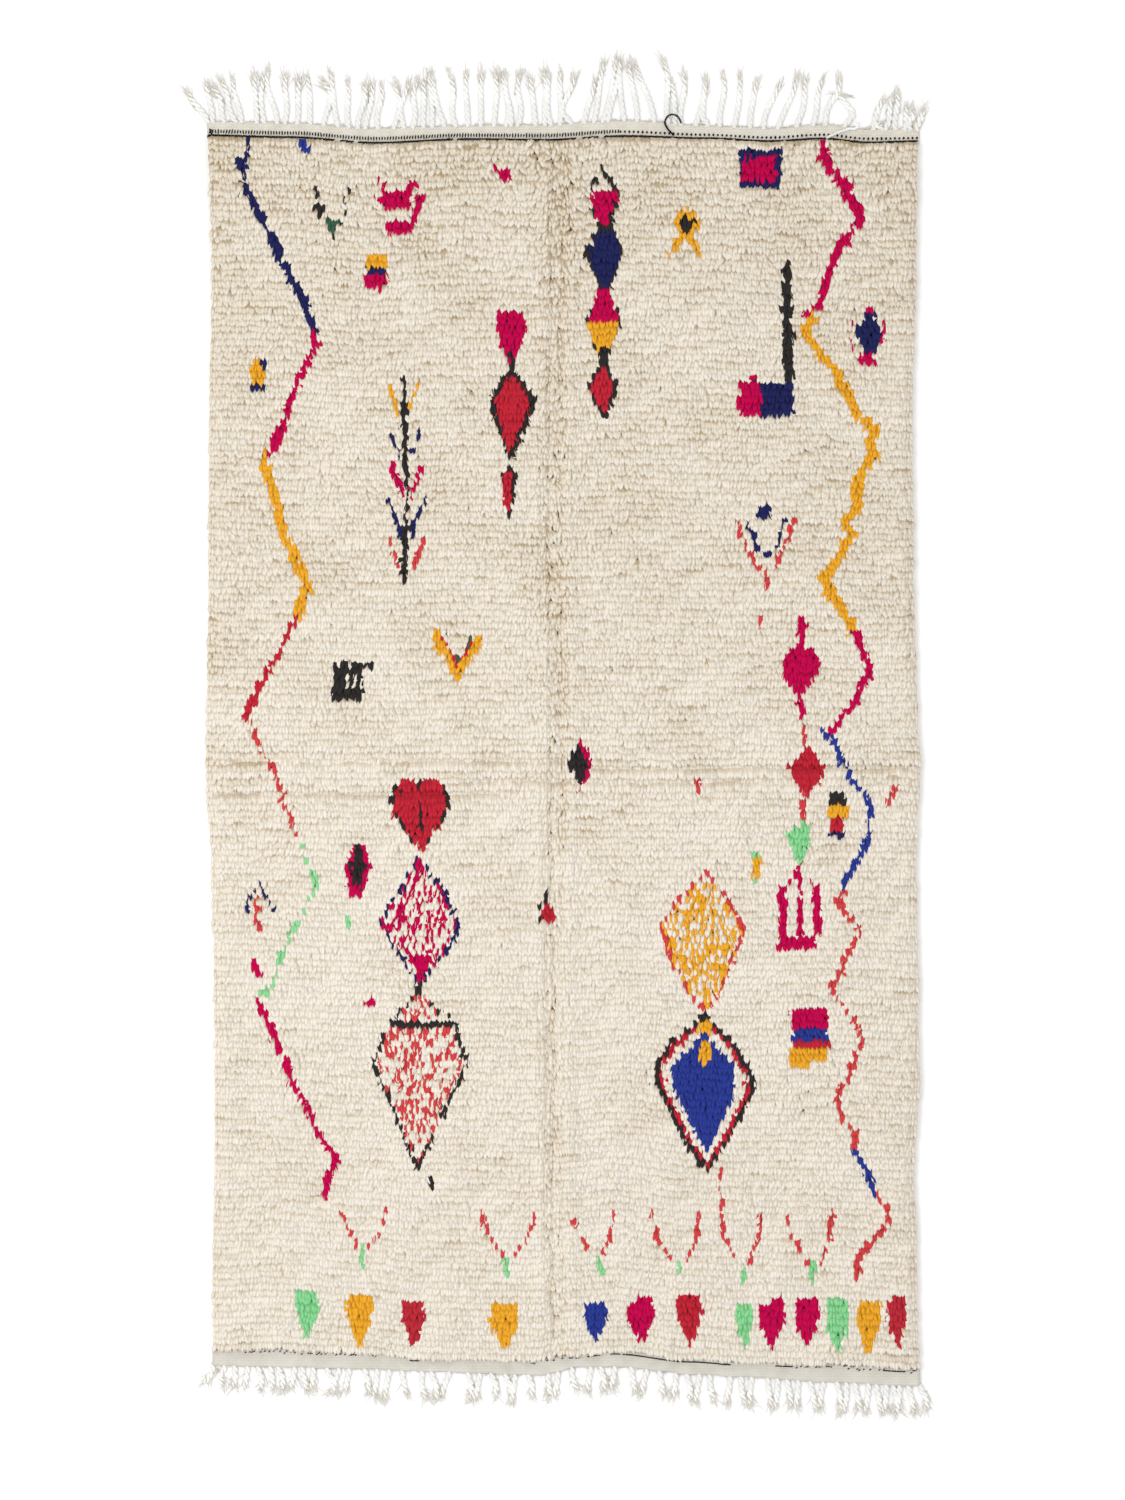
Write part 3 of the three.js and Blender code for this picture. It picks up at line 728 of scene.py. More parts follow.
def wool(name, root, body, tip, tan=None, sheen=0.1):
    """Hand-spun wool along one length, with its fibres in relief: coloured deeper towards its root as painted
    shade and paler at its end as painted light.
    """
    shader = Shader(name)
    shade = shader.attribute("shade")
    around, along, _ = shader.parts(shader.node("ShaderNodeUVMap", {"uv_map": "Yarn"}, {}))
    fibres = shader.noise(shader.vector(around * 9, along * 1.6, shade * 31), 3.2, 3)
    tone = along * 0.8 + shade * 0.05 + fibres * 0.1
    # Painted shade and light: a lock is coloured deeper near its root, where the row above covers it, and paler
    # towards its end
    colour = shader.ramp(tone, (0.42, root), (0.5, body), (0.85, tip), (1, tip))
    if tan:
        # The brown colours have a deeper root as well, painting the shade at the row partings browner
        brown = shader.ramp(tone, (0.43, tan[0]), (0.51, tan[1]), (0.9, tan[2]))
        colour = shader.mix(shader.attribute("tan"), colour, brown)
    return shader.cloth(colour, shader.bump(fibres, 0.45, 0.0012), 0.94, sheen)


def ivory_wool():
    """Undyed wool, browner where the tan attribute says, partly in tone and partly as painted shade."""
    tan = ((0.72, 0.635, 0.51), (0.85, 0.805, 0.725), (0.895, 0.855, 0.785))
    return wool("ivory_wool", (0.89, 0.845, 0.77), (0.915, 0.88, 0.825), (0.93, 0.905, 0.86), tan)


def dyed_wool(name, colour):
    # Painted shade and light: a dyed lock's root is 7% darker than its colour and its end 5% paler
    return wool(f"{name}_wool", tinted(colour, 0.93), colour, tinted(colour, 1.05), sheen=0.02)


def plain_weave(name, dark, light, pick, end, tint=None):
    """Weft-faced weave in relief: picks across the rug, each bead of weft half a bead from the last row's. Its
    colour is darker between the beads, as painted shade.
    """
    shader = Shader(name)
    spot = shader.node("ShaderNodeTexCoord", {}, {}, "Object")
    x, y, _ = shader.parts(spot)
    row = (y * (1 / pick)).math("FLOOR")
    beads = (x * (math.pi / end) + row * (math.pi / 2)).math("SINE").math("ABSOLUTE")
    picks = (y * (math.pi / pick)).math("SINE").math("ABSOLUTE")
    relief = beads.math("POWER", 0.6) * picks.math("POWER", 0.5)
    streaks = shader.noise(shader.vector(x * 90, y * 380, 0), 1.4, 3)
    cloudy = shader.noise(spot, 34, 3)
    # Painted shade: the colour follows the relief, darker in the dips between the beads of weft
    colour = shader.ramp(relief * 0.5 + streaks * 0.6 + cloudy * 0.5 - 0.3, (0.1, dark), (0.75, light))
    if tint:
        colour = shader.mix(1, colour, shader.attribute(tint, "Color"), "MULTIPLY")
    return shader.cloth(colour, shader.bump(relief + streaks * 0.4, 0.6, 0.0009), 0.92, 0.08)


class Knots:
    """Where every knot sits, which yarn it is and how its lock lies."""

    def __init__(self):
        dice = np.random.default_rng(7)
        rows = round((LAST_ROW - FIRST_ROW) / ROW_PITCH) + 1
        columns = round(2 * HALF_WIDTH / KNOT_PITCH)
        row, column = np.meshgrid(np.arange(rows), np.arange(columns), indexing="ij")
        self.row = row.ravel()
        self.column = column.ravel()
        self.count = rows * columns
        even_x = -HALF_WIDTH + (self.column + 0.5) * 2 * HALF_WIDTH / columns
        even_y = FIRST_ROW + self.row * (LAST_ROW - FIRST_ROW) / (rows - 1)
        x, y = plan(even_x, even_y)
        self.loom_x = x
        self.loom_y = y
        straight_ends = np.clip((HALF_LENGTH - np.abs(even_y)) / 60, 0, 1)
        sway = 2 * drift(x, y, 420, 1) + 1.2 * drift(x, y * 6, 70, 2)
        self.rim = HALF_WIDTH - np.abs(even_x)
        inset = RIM_INSET * np.clip(1 - self.rim / 60, 0, 1)
        self.x = x - np.sign(x) * inset + dice.normal(0, 0.6, self.count)
        self.y = y + sway * straight_ends + dice.normal(0, 0.8, self.count)
        self.lay_locks(dice)
        self.choose_yarns(dice)

    def lay_locks(self, dice):
        """How long each lock is, how high it stands and which way it leans."""
        x = self.x
        y = self.y
        n = self.count

        # Where the pile is ruffled, parted by the fold, or shaggy beside it near the long fringe
        top_end = np.clip((y - RUFFLED_FROM) / 380, 0, 1)
        ruffle = np.clip(0.4 + y / 6000 + 0.25 * drift(x, y, 260, 3) + 0.5 * top_end, 0.1, 1.3)
        aside = x - read_table(FOLD_LINE, y, 1)
        beside_fold = bell(aside, 28 + y / 160)
        groove = beside_fold * (dice.random(self.column.max() + 1) < GROOVED_COLUMNS)[self.column]
        shaggy = bell(aside + 40, 130) * np.clip((y - RUFFLED_FROM) / 300, 0, 1)
        self.x = x + beside_fold * 3 * drift(x * 1.5, y, 80, 14)
        self.y = y + np.maximum(beside_fold, 0.7 * shaggy) * dice.normal(0, 2.5, n)

        # Lean, in degrees until the end
        lean = 7 * drift(x, y, 180, 4) + 16 * ruffle * drift(x, y * 5, 38, 11)
        lean = lean + dice.normal(0, 1, n) * (5 + 3 * ruffle)
        lean = lean + beside_fold * (4 * np.tanh(aside / 12) + 13 * drift(x * 3, y, 60, 15))
        lean = lean + shaggy * (18 * drift(x, y, 55, 17) + 8 * np.tanh(aside / 60))
        outward = np.clip(1 - self.rim / 14, 0, 1)
        lean = lean * (1 - 0.6 * outward) + np.sign(x) * outward * (16 + dice.normal(0, 6, n))
        self.lean = np.radians(lean)
        self.own_lean = np.radians(dice.normal(0, DYED_LEAN, n))

        # Reach and width. The topmost row starts at its knots and is that much shorter
        topmost = self.row == self.row.max()
        self.start = np.where(topmost, 0, LOCK_START)
        uneven = 0.07 * drift(x, y * 6, 55, 12) * (0.4 + 1.2 * ruffle) + 0.065 * dice.normal(0, 1, n)
        self.reach = np.where(topmost, LOCK_REACH - LOCK_START, LOCK_REACH) * (1 + uneven)
        self.width = LOCK_WIDTH * (1 - 0.2 * groove) * np.clip(1 + 0.1 * dice.normal(0, 1, n), 0.65, 1.4)

        # Height
        climb = np.clip(self.rim / 26, 0, 1)
        round_rim = np.sqrt(1 - (1 - climb) ** 2)
        lumps = 1.5 * np.sin(x / 130 + y / 190) + 0.8 * drift(x, y, 90, 5)
        relief = (fold_relief(x, y) + lumps + 0.5 * ruffle * drift(x, y * 4, 48, 13)) * climb
        stray = dice.normal(0, 1, n) * (0.08 + 0.25 * ruffle)
        self.top = RIM_TOP + (PILE_TOP - RIM_TOP) * round_rim + relief + stray - GROOVE_DEPTH * groove

        # Colour and roll. The tan value makes the pile browner towards the long fringe and in wandering
        # stretches, and adds painted shade in the fold's lowered columns, beside the fold and along the side
        # edges
        upper = np.clip((y + 250) / 700, 0, 1)
        tan = 0.10 + 0.32 * upper + 0.2 * top_end
        tan = tan + 0.15 * drift(x, y, 240, 6) + 0.28 * drift(x * 0.35, y * 4, 60, 8)
        # Painted shade: browner in the fold's lowered columns and beside the fold
        tan = tan + 0.3 * groove + 0.12 * beside_fold + 0.14 * dice.normal(0, 1, n)
        # Painted shade: browner along the side edges, where the pile rounds down
        self.tan = np.clip(tan + 0.14 * bell(self.rim, 70), 0, 1)
        self.shade = 0.4 * drift(x * 0.3, y * 3, 70, 10) + 0.6 * dice.normal(0, 1, n)
        self.roll = np.radians(dice.normal(0, 1, n) * (2 + 3 * ruffle))
        self.lift = 0.06 * drift(x * 0.5, y * 3, 60, 16) + dice.normal(0, 0.03, n)

    def choose_yarns(self, dice):
        """Lays the chart over the knots, each taken at the part of its lock that shows, below its root."""
        x = self.loom_x + dice.normal(0, 0.7, self.count)
        y = self.loom_y + LOCK_START - LOCK_SHOWN * LOCK_REACH
        self.yarn = np.full(self.count, "ivory", dtype="<U8")
        for yarn, covered in charted(x, y):
            self.yarn[covered] = yarn
        dyed = self.yarn != "ivory"
        self.lean = self.lean + dyed * self.own_lean
        self.top = self.top + dyed * DYED_RISE
        self.width = self.width * (1 - DYED_SHRINK * dyed)

    def paths(self, chosen):
        """The line down the middle of each chosen lock, its side and its sizes at every ring."""
        lean = self.lean[chosen][:, None]
        roll = self.roll[chosen][:, None]
        rise = np.repeat([LOCK_RISE], len(chosen), axis=0)
        rise[:, -1] += self.lift[chosen]
        reach = self.reach[chosen][:, None] * LOCK_STATIONS - self.start[chosen][:, None]
        depth = np.array(LOCK_DEPTHS)
        width = self.width[chosen][:, None] * LOCK_TAPER
        x = self.x[chosen][:, None] + np.sin(lean) * reach
        y = self.y[chosen][:, None] - np.cos(lean) * reach
        z = LOCK_ROOT + (self.top[chosen][:, None] - LOCK_ROOT) * rise - (depth - LOCK_DEPTHS[0]) / 4
        side = np.stack([np.cos(lean) * np.cos(roll), np.sin(lean) * np.cos(roll), np.sin(roll)], axis=2)
        return np.stack([x, y, z], axis=2), width, depth / width, side


def pile(knots):
    """The locks, as one mesh for each dyed yarn and a few bands of ivory."""
    lock = Yarn(3, LOCK_STATIONS)
    pieces = []
    for name, (slot, colour) in YARNS.items():
        ivory = name == "ivory"
        material = ivory_wool() if ivory else dyed_wool(name, colour)
        bands = np.array_split(np.flatnonzero(knots.yarn == name), IVORY_BANDS if ivory else 1)
        for number, chosen in enumerate(bands):
            title = f"pile_{name}_{number + 1}" if ivory else f"pile_{name}"
            points = lock.sweep(*knots.paths(chosen))
            numbers = {"shade": knots.shade[chosen], "tan": knots.tan[chosen]}
            pieces.append(joined(title, lock, points, material, numbers, smooth=False))
    return pieces


def cloth_strip(name, across, along, thickness, weave, place):
    """A thin cloth as a grid, each point put in its place, with its thickness below that surface."""
    bm = bmesh.new()
    bmesh.ops.create_grid(bm, x_segments=across, y_segments=along, size=0.5)
    grid = np.array([v.co[:2] for v in bm.verts]) + 0.5
    for vertex, point in zip(bm.verts, place(grid[:, 0], grid[:, 1])):
        vertex.co = (point + FIELD_MIDDLE) * MM
    piece = meshed(name, bm)
    piece.data.shade_smooth()
    piece.data.materials.append(weave)
    solidify = piece.modifiers.new("thickness", "SOLIDIFY")
    solidify.thickness = thickness * MM
    solidify.offset = -1
    return piece


def ground_cloth():
    """The woven ground that the knots are tied to. Its underside shows each knot's yarn."""

    def place(u, v):
        x, y = plan((u - 0.5) * 2 * (HALF_WIDTH - 5), (v - 0.5) * 2 * (HALF_LENGTH - 1))
        return np.stack([x, y, np.full(len(x), GROUND_TOP)], axis=1)

    weave = plain_weave("ground_weave", (0.70, 0.63, 0.52), (0.93, 0.90, 0.83), 0.0046, 0.0081, "knot_tint")
    piece = cloth_strip("ground_cloth", 64, 120, GROUND_THICKNESS, weave, place)
    points = np.empty((len(piece.data.vertices), 3))
    piece.data.vertices.foreach_get("co", points.ravel())
    x, y, _ = (points / MM - FIELD_MIDDLE).T
    tints = np.ones((len(x), 4))
    for yarn, covered in charted(x, y):
        tints[covered] = 1 if yarn == "ivory" else linear(YARNS[yarn][1])
    stored = piece.data.color_attributes.new("knot_tint", "FLOAT_COLOR", "POINT")
    stored.data.foreach_set("color", tints.astype(np.float32).ravel())
    return piece


def woven_end(name, table, heights, weave):
    """A flat-woven strip between the pile and the fringe, a little rolled at its outer edge."""
    outward = math.copysign(1, table[0][1])

    def place(u, v):
        even = (u - 0.5) * 2 * HALF_WIDTH
        x, _ = plan(even, np.full(len(u), outward * HALF_LENGTH))
        inside = read_table(table, even, 1) - outward * 4
        outside = read_table(table, even, 2)
        y = inside + (outside - inside) * v
        y = y + 0.5 * drift(x, v * 40, 60, 41) + 1.2 * v * v * drift(x, v, 34, 43)
        z = np.interp(v, np.linspace(0, 1, len(heights)), heights) + 0.25 * drift(x, y, 35, 42)
        return np.stack([x, y, z], axis=1)

    return cloth_strip(name, 180, 8, STRIP_THICKNESS, weave, place)


def level(points):
    """Lifts each copy so that its lowest point lies on the floor."""
    lift = FLOOR_GAP - points[..., 2].min(axis=1)
    points[..., 2] += np.maximum(lift, 0)[:, None]
    return points


def curve_through(route, count):
    """Evenly spaced points on a smooth curve through a route's points, and its length."""
    route = np.array(route, float)
    padded = np.vstack([2 * route[0] - route[1], route, 2 * route[-1] - route[-2]])
    fine = []
    for a, b, c, d in zip(padded, padded[1:], padded[2:], padded[3:]):
        t = np.linspace(0, 1, 12, endpoint=False)[:, None]
        fine.append(b + 0.5 * t * (c - a + t * (2 * a - 5 * b + 4 * c - d + t * (3 * (b - c) + d - a))))
    fine = np.vstack([*fine, route[-1:]])
    length = np.concatenate([[0], np.cumsum(np.linalg.norm(np.diff(fine, axis=0), axis=1))])
    at = np.linspace(0, length[-1], count)
    return np.stack([np.interp(at, length, fine[:, i]) for i in range(3)], axis=1), length[-1]


def curves_through(routes, count):
    paths, lengths = zip(*[curve_through(route, count) for route in routes])
    return np.array(paths), np.array(lengths)


def plies(paths, lengths, radius, pitch):
    """Winds two plies round each path. Returns their own paths, all first plies before the second."""
    along = headings(paths)
    side = level_sides(along)
    up = np.cross(side, along)
    wound = []
    for start in (0, 0.5):
        turns = lengths[:, None] / pitch * np.linspace(0, 1, paths.shape[1]) + start
        angle = (turns * 2 * np.pi)[..., None]
        wound.append(paths + radius * (np.cos(angle) * side + 0.45 * np.sin(angle) * up))
    return np.concatenate(wound)


# Fringe cords of the long end: root across the rug, then stops up to the tip, each a place across and its
# distance beyond the strip's edge
LONG_CORDS = [
    (-755, -795, 58), (-745, -759, 80), (-720, -744, 72), (-693, -725, 86), (-683, -702, 88),
    (-651, -655, 100), (-634, -636, 100), (-607, -628, 108), (-592, -590, 100), (-565, -560, 92),
    (-537, -543, 96), (-509, -492, 60, -510, 90), (-476, -494, 112), (-455, -458, 94), (-436, -422, 90),
    (-421, -405, 92), (-393, -386, 88), (-361, -329, 92), (-337, -358, 92), (-321, -312, 95),
    (-296, -299, 98), (-278, -286, 106), (-253, -269, 40, -278, 104), (-226, -240, 106), (-202, -206, 112),
    (-175, -172, 112), (-147, -144, 108), (-123, -121, 106), (-111, -129, 104), (-99, -93, 104),
    (-58, -70, 98), (-38, -41, 110), (-24, -32, 108), (-7, -6, 110), (18, 6, 30, 25, 102), (44, 68, 84),
    (64, 87, 124), (82, 112, 128), (95, 117, 118), (131, 121, 124), (158, 140, 118),
    (194, 176, 58, 155, 116), (225, 214, 132), (238, 238, 62, 229, 88), (250, 254, 108), (281, 301, 92),
    (307, 297, 16, 303, 86), (333, 339, 108), (362, 377, 102), (397, 411, 96), (426, 462, 92),
    (455, 498, 104), (497, 511, 36, 515, 98), (530, 549, 94), (557, 564, 36, 583, 66, 589, 94),
    (597, 611, 28, 592, 62, 579, 66), (659, 667, 30, 681, 62), (675, 677, 10), (683, 700, 66),
    (706, 710, 74), (724, 729, 46), (739, 743, 38), (750, 765, 38),
]

# Fringe cords of the short end: root across, tip across and how far the tip lies beyond the edge
SHORT_CORDS = [
    (-744, -763, 50), (-719, -722, 52), (-697, -700, 56), (-670, -676, 56), (-647, -640, 60),
    (-621, -616, 58), (-604, -596, 60), (-570, -577, 56), (-553, -544, 60), (-530, -535, 56),
    (-500, -486, 58), (-476, -490, 66), (-454, -462, 60), (-420, -412, 62), (-395, -402, 74),
    (-369, -378, 76), (-341, -333, 62), (-299, -292, 74), (-279, -268, 76), (-242, -258, 62),
    (-201, -195, 70), (-177, -188, 72), (-151, -143, 62), (-121, -108, 66), (-102, -110, 74),
    (-72, -66, 60), (-32, -24, 66), (-11, -22, 70), (19, 30, 62), (59, 50, 66), (81, 88, 66),
    (110, 102, 60), (146, 154, 66), (178, 168, 68), (206, 214, 66), (240, 232, 66), (264, 272, 68),
    (290, 282, 74), (312, 322, 70), (355, 346, 72), (379, 388, 72), (401, 396, 74), (435, 444, 74),
    (456, 450, 78), (477, 486, 70), (500, 494, 74), (526, 536, 76), (553, 546, 68), (583, 592, 74),
    (602, 596, 78), (621, 632, 76), (649, 642, 74), (666, 676, 72), (687, 680, 74), (702, 712, 76),
    (715, 708, 66), (734, 746, 70), (760, 774, 62),
]


def long_fringe():
    """The paths of the long end's cords and their lengths, each cord with slack bends of its own."""
    routes = []
    for root, *stops in LONG_CORDS:
        edge = float(read_table(TOP_END, root, 2))
        ahead = root + 0.12 * (stops[0] - root)
        places = [(ahead, 6), *zip(stops[::2], stops[1::2])]
        foot = (root, edge - ROOT_DEPTH, ROOT_CENTRE)
        routes.append([foot, *[(x, edge + beyond, CORD_CENTRE) for x, beyond in places]])
    paths, lengths = curves_through(routes, LONG_RINGS)
    dice = np.random.default_rng(12)
    turn = np.linspace(0, np.pi, LONG_RINGS)
    for path in paths:
        path[:, 0] += np.sin(turn) * dice.normal(0, 3.5) + np.sin(2 * turn) * dice.normal(0, 2.2)
    return paths, lengths


def short_fringe():
    """The paths of the short end's cords and their lengths, up to where their ends open."""
    dice = np.random.default_rng(13)
    routes = []
    for root, tip, beyond in SHORT_CORDS:
        edge = float(read_table(BOTTOM_END, root, 2))
        middle = (root + tip) / 2 + dice.normal(0, 2.5)
        stops = [(root, edge - 5), (middle, edge - 0.4 * beyond), (tip, edge - 0.78 * beyond)]
        routes.append([(root, edge + ROOT_DEPTH, ROOT_CENTRE), *[(x, y, CORD_CENTRE) for x, y in stops]])
    return curves_through(routes, SHORT_RINGS)


def cords(name, paths, lengths, material):
    """Two plies wound round each other along every path."""
    rings = paths.shape[1]
    ply = Yarn(5, np.linspace(0, 1, rings), pointed=False)
    wound = plies(paths, lengths, CORD_WIDTH * 0.24, CORD_WIDTH * 1.9)
    opened = np.interp(np.linspace(0, 1, rings), (0, 0.6, 1), (1, 1, 0.3))
    points = level(ply.sweep(wound, CORD_WIDTH * 0.56 * opened, 0.6))
    shade = np.random.default_rng(len(name)).normal(0, 0.6, len(points))
    return joined(name, ply, points, material, {"shade": shade})


def teased_tips(name, paths, strands, spread, length, curl, material, seed):
    """Loose strands that fan out of the end of every cord."""
    dice = np.random.default_rng(seed)
    t = np.linspace(0, 1, 5)
    strand = Yarn(3, t)
    onward = paths[:, -1] - paths[:, -3]
    onward[:, 2] = 0
    onward = onward / np.linalg.norm(onward, axis=1, keepdims=True)
    square = np.stack([onward[:, 1], -onward[:, 0], np.zeros(len(onward))], axis=1)
    every = []
    for cord in range(len(paths)):
        parted = spread * dice.uniform(0, 1.3)
        for _ in range(strands):
            fan = dice.normal(0, spread * 0.6) + parted * dice.choice((-1, 1))
            reach = length * dice.uniform(0.45, 1.15)
            waves = curl * dice.normal(0, 1)
            start = paths[cord, -1] - onward[cord] * dice.uniform(0.3, 0.95) * length
            ahead = reach * (t - 0.35 * abs(curl) / 10 * t * t)
            aside = dice.normal(0, 1.3) + fan * reach * t**1.3
            aside = aside + waves * t * np.sin(t * np.pi * dice.uniform(0.7, 1.8))
            hump = np.sin(np.pi * np.clip(t * dice.uniform(0.7, 1.3), 0, 1))
            rise = 1.6 + 3.4 * hump * dice.uniform(0.3, 1)
            path = start + onward[cord] * ahead[:, None] + square[cord] * aside[:, None]
            path[:, 2] = CORD_CENTRE * (1 - t) + rise * t + 0.8
            every.append(path)
    points = level(strand.sweep(np.array(every), STRAND_TAPER, 0.8))
    return joined(name, strand, points, material, {"shade": dice.normal(0, 1, len(points))})


def edge_fuzz(name, table, strands, material, seed):
    """Short broken fibres that stand out along a strip's outer edge."""
    dice = np.random.default_rng(seed)
    t = np.linspace(0, 1, 3)
    strand = Yarn(3, t)
    outward = math.copysign(1, table[0][2])
    across = np.sort(dice.uniform(-HALF_WIDTH + 6, HALF_WIDTH - 4, strands))
    root = read_table(table, across, 2) - outward * dice.uniform(1, 4, strands)
    lean = dice.normal(0, 0.6, strands)
    reach = dice.uniform(4, 11, strands)
    x = across[:, None] + (np.sin(lean) * reach)[:, None] * t
    y = root[:, None] + outward * (np.cos(lean) * reach)[:, None] * t
    z = 3.4 + dice.uniform(-1, 1.2, strands)[:, None] * t
    points = strand.sweep(np.stack([x, y, z], axis=2), FIBRE_TAPER, 1)
    return joined(name, strand, points, material, {"shade": dice.normal(0, 1, strands)})


def stitches(name, places, length, width, slant, material):
    """A row of short beads of yarn. places holds x, y and the height of each."""
    dice = np.random.default_rng(len(places))
    bead = Yarn(5, (0, 0.3, 0.7, 1), pointed=False)
    t = bead.stations - 0.5
    angle = slant + dice.normal(0, 0.12, len(places))
    size = length * (1 + 0.12 * dice.normal(0, 1, len(places)))
    path = np.repeat(places[:, None, :], len(t), axis=1)
    path[..., 0] += np.cos(angle)[:, None] * size[:, None] * t
    path[..., 1] += np.sin(angle)[:, None] * size[:, None] * t
    path[..., 2] += 0.5 - 2.2 * t * t
    points = bead.sweep(path, width * np.array(STITCH_TAPER), 0.8)
    return joined(name, bead, points, material, {"shade": dice.normal(0, 0.8, len(points))})


def line_places(table, spans, pitch, off, height, missing=0):
    """Evenly spaced places along spans of a strip, off its inner edge by a share of its width."""
    xs = np.concatenate([np.arange(start, stop, pitch) for start, stop in spans])
    dice = np.random.default_rng(len(xs))
    xs = xs[dice.random(len(xs)) >= missing]
    off = off + missing * dice.normal(0, 0.12, len(xs))
    inside = read_table(table, xs, 1)
    outside = read_table(table, xs, 2)
    return np.stack([xs, inside + (outside - inside) * off, np.full(len(xs), height)], axis=1)


# Stretches of dark twining that show, from left to right
TOP_TWINING = [(-752, -484), (-470, -447), (-432, -234), (-222, 28), (44, 76), (90, 756)]
FINE_DOTS = [(-750, 118)]
WIDE_DOTS = [(122, 754)]
BOTTOM_TWINING = [(-322, -302), (55, 80), (103, 119), (129, 356), (454, 489), (682, 726)]
BOTTOM_BROKEN = [
    (-688, -500), (-486, -396), (-70, -56), (-38, 6), (10, 36), (496, 664), (672, 682), (726, 751),
]

# Loose yarn ends on the long-fringed end, each a route with its heights
DARK_YARN = [
    (235, 1303, 7.8), (223, 1316, 7.4), (216, 1330, 8.4), (222, 1343, 9.5), (234, 1347, 9.5), (245, 1341, 9),
    (251, 1329, 7.6),
]
WHITE_YARN = [
    (559, 1297, 9.2), (573, 1304, 8.6), (589, 1311, 8.1), (607, 1317, 8), (619, 1317, 8), (626, 1322, 8),
    (623, 1328, 8.4), (616, 1325, 9),
]
KNOTTED_END = [
    (-756, 1300, 6), (-748, 1303, 7.6), (-746, 1308, 8), (-752, 1309, 8.4), (-746, 1313, 8),
    (-752, 1317, 6.6),
]


def loose_yarn(name, route, width, material):
    """A loose two-ply yarn end along its route."""
    ply = Yarn(6, np.linspace(0, 1, LOOSE_RINGS), pointed=False)
    wound = plies(*curves_through([route], LOOSE_RINGS), width * 0.25, width * 2.2)
    points = ply.sweep(wound, width * 0.58, 1)
    return joined(name, ply, points, material, {"shade": np.array([0.3, -0.3])})


def floor():
    """A plain pale floor."""
    bm = bmesh.new()
    bmesh.ops.create_grid(bm, x_segments=1, y_segments=1, size=FLOOR_SIZE)
    piece = meshed("floor", bm)
    paint = {"Base Color": (0.93, 0.93, 0.93, 1), "Roughness": 0.9}
    piece.data.materials.append(Shader("floor_paint").surface(paint))


FLOOR_SIZE = 30
KEY_LIGHT = (-1.9, -0.6, 4.2)
KEY_SIZE = 2.2
KEY_POWER = 59.5


def light():
    """Soft even light, a little stronger from the left and from the short fringe's end."""
    world = bpy.data.worlds.new("studio")
    world.use_nodes = True
    sky = world.node_tree.nodes["Background"].inputs
    sky["Color"].default_value = (1, 1, 1, 1)
    sky["Strength"].default_value = 1
    bpy.context.scene.world = world
    panel = bpy.data.lights.new("key", "AREA")
    panel.shape = "DISK"
    panel.size = KEY_SIZE
    panel.energy = KEY_POWER
    key = linked("key", panel)
    key.location = KEY_LIGHT
    key.rotation_euler = Vector(KEY_LIGHT).to_track_quat("Z", "Y").to_euler()


# The camera looks straight down on the rug's middle
CAMERA_OVER = (7.8, -22.9)
FRAME_LENGTH = 3.18
LENS = 85
SENSOR = 36


def camera():
    lens = bpy.data.cameras.new("camera")
    lens.lens = LENS
    lens.sensor_width = SENSOR
    eye = linked("camera", lens)
    height = FRAME_LENGTH * LENS / SENSOR + PILE_TOP * MM
    eye.location = (CAMERA_OVER[0] * MM, CAMERA_OVER[1] * MM, height)
    bpy.context.scene.camera = eye


def settle(pieces, node):
    """The pieces ride on the rug's one body and stand for a CAD solid."""
    for piece in pieces:
        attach(piece, "root")
        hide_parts(node)


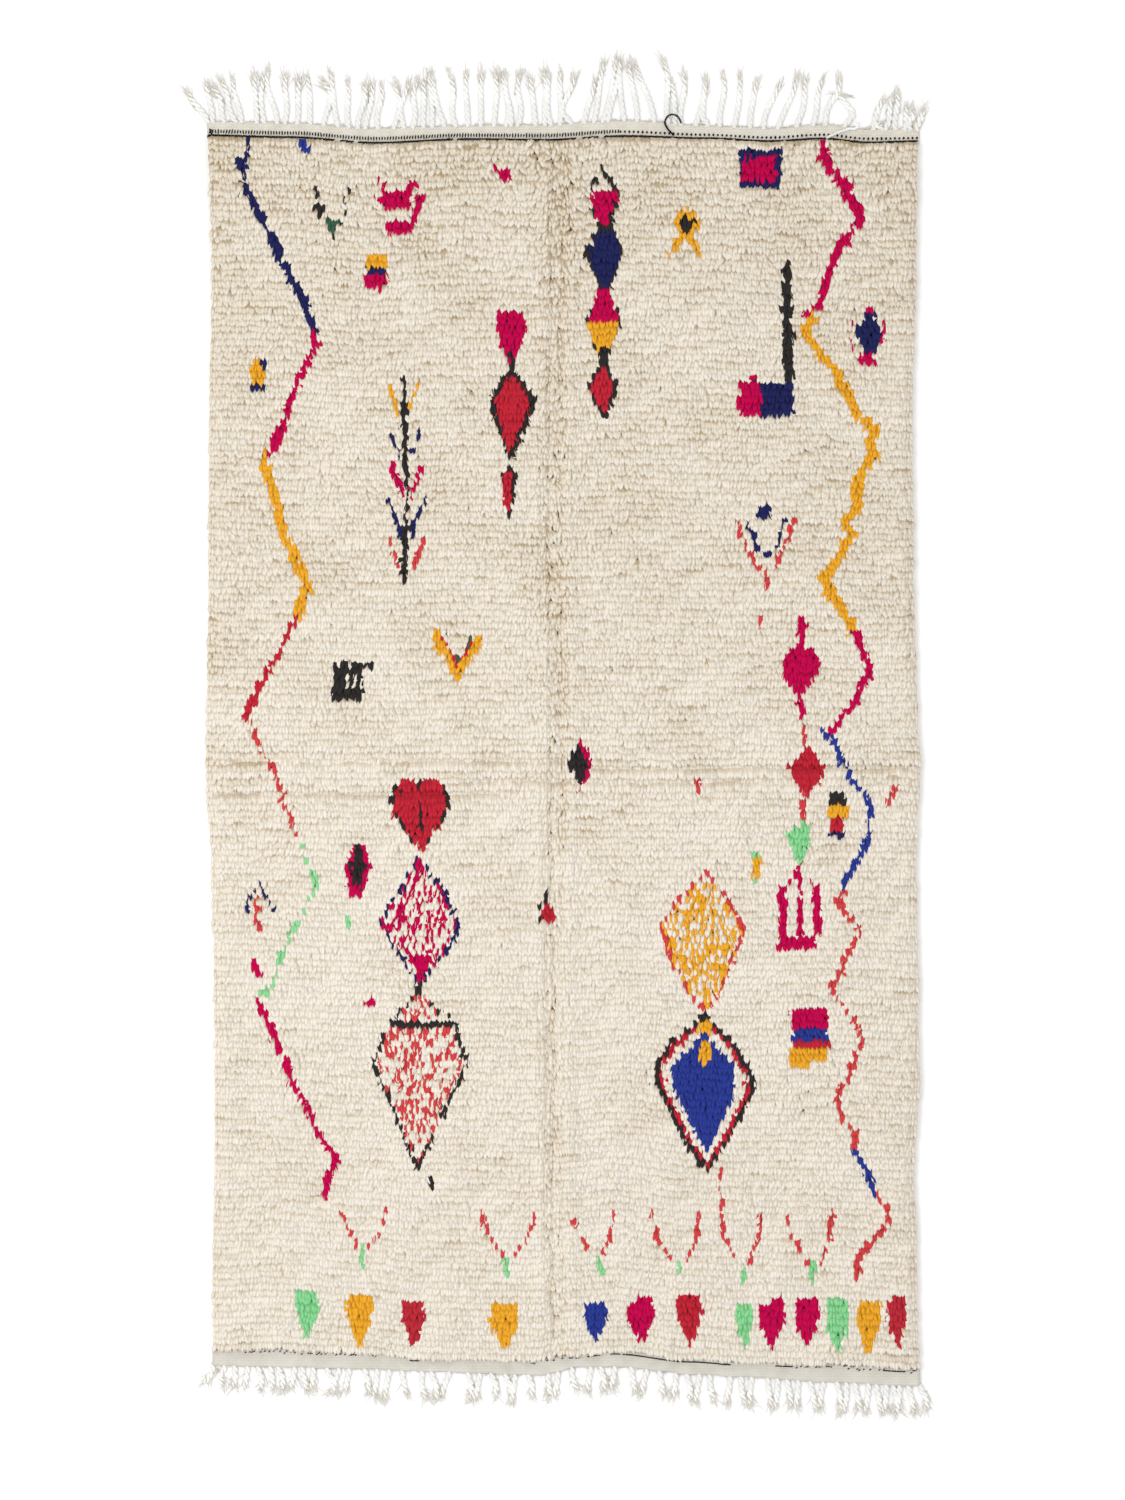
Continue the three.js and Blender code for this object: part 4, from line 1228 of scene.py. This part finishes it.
def build():
    locks = pile(Knots())
    ground = ground_cloth()
    settle([*locks, ground], "pile_field")

    weave = plain_weave("strip_weave", (0.72, 0.69, 0.63), (0.895, 0.88, 0.835), 0.0034, 0.006)
    # Painted shade: the short end's strip is coloured darker than the long end's, where the key light falls
    # stronger
    painted_shade_weave = plain_weave("strip_weave_painted_shade", (0.69, 0.665, 0.61), (0.86, 0.845, 0.81), 0.0034, 0.006)
    warp = wool("warp_cord", (0.92, 0.915, 0.90), (0.95, 0.95, 0.94), (0.965, 0.965, 0.96))
    teased = wool("teased_warp", (0.88, 0.855, 0.80), (0.95, 0.93, 0.89), (0.975, 0.965, 0.945))
    dark = wool("dark_yarn", (0.05, 0.045, 0.04), (0.12, 0.11, 0.105), (0.22, 0.205, 0.195))

    top_strip = woven_end("flat_weave_top", TOP_END, [4.4, 4.6, 4.3, 4.4, 4.2, 4.2, 3.2], weave)
    paths, lengths = long_fringe()
    top = [
        top_strip,
        cords("fringe_top", paths, lengths, warp),
        teased_tips("fringe_tips_top", paths, 24, 0.15, 46, 3, teased, 14),
        edge_fuzz("edge_fuzz_top", TOP_END, 420, teased, 51),
        loose_yarn("dark_yarn_knot", KNOTTED_END, 3, dark),
        stitches("twined_line_top", line_places(TOP_END, TOP_TWINING, 5.6, 0.1, 7), 7.4, 3.7, 0.35, dark),
        stitches("fine_dots_top", line_places(TOP_END, FINE_DOTS, 5.9, 0.36, 4.9), 8, 3, 1.5, dark),
        stitches("wide_dots_top", line_places(TOP_END, WIDE_DOTS, 9.4, 0.34, 4.9), 5, 4.4, 1.5, dark),
    ]
    settle(top, "woven_end_top")

    bottom_strip = woven_end("flat_weave_bottom", BOTTOM_END, [4.4, 4.4, 4.2, 4.8, 5.4, 5, 3.4], painted_shade_weave)
    paths, lengths = short_fringe()
    twining = line_places(BOTTOM_END, BOTTOM_TWINING, 5.2, 0.12, 6.8)
    broken = line_places(BOTTOM_END, BOTTOM_BROKEN, 4.6, 0.1, 7, 0.45)
    bottom = [
        bottom_strip,
        cords("fringe_bottom", paths, lengths, warp),
        teased_tips("fringe_tips_bottom", paths, 28, 0.28, 42, 5, teased, 15),
        edge_fuzz("edge_fuzz_bottom", BOTTOM_END, 360, teased, 52),
        stitches("twined_line_bottom", twining, 6.6, 2.8, 0.15, dark),
        stitches("broken_line_bottom", broken, 4.6, 2.7, 0.6, dark),
    ]
    settle(bottom, "woven_end_bottom")
    settle([loose_yarn("dark_yarn_hook", DARK_YARN, 4.6, dark)], "dark_yarn_end")
    settle([loose_yarn("white_yarn_tuft", WHITE_YARN, 6.4, warp)], "white_yarn_end")

    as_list(top[1:])
    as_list(bottom[1:])


build()
floor()
light()
camera()
bpy.context.scene.view_settings.view_transform = "Standard"
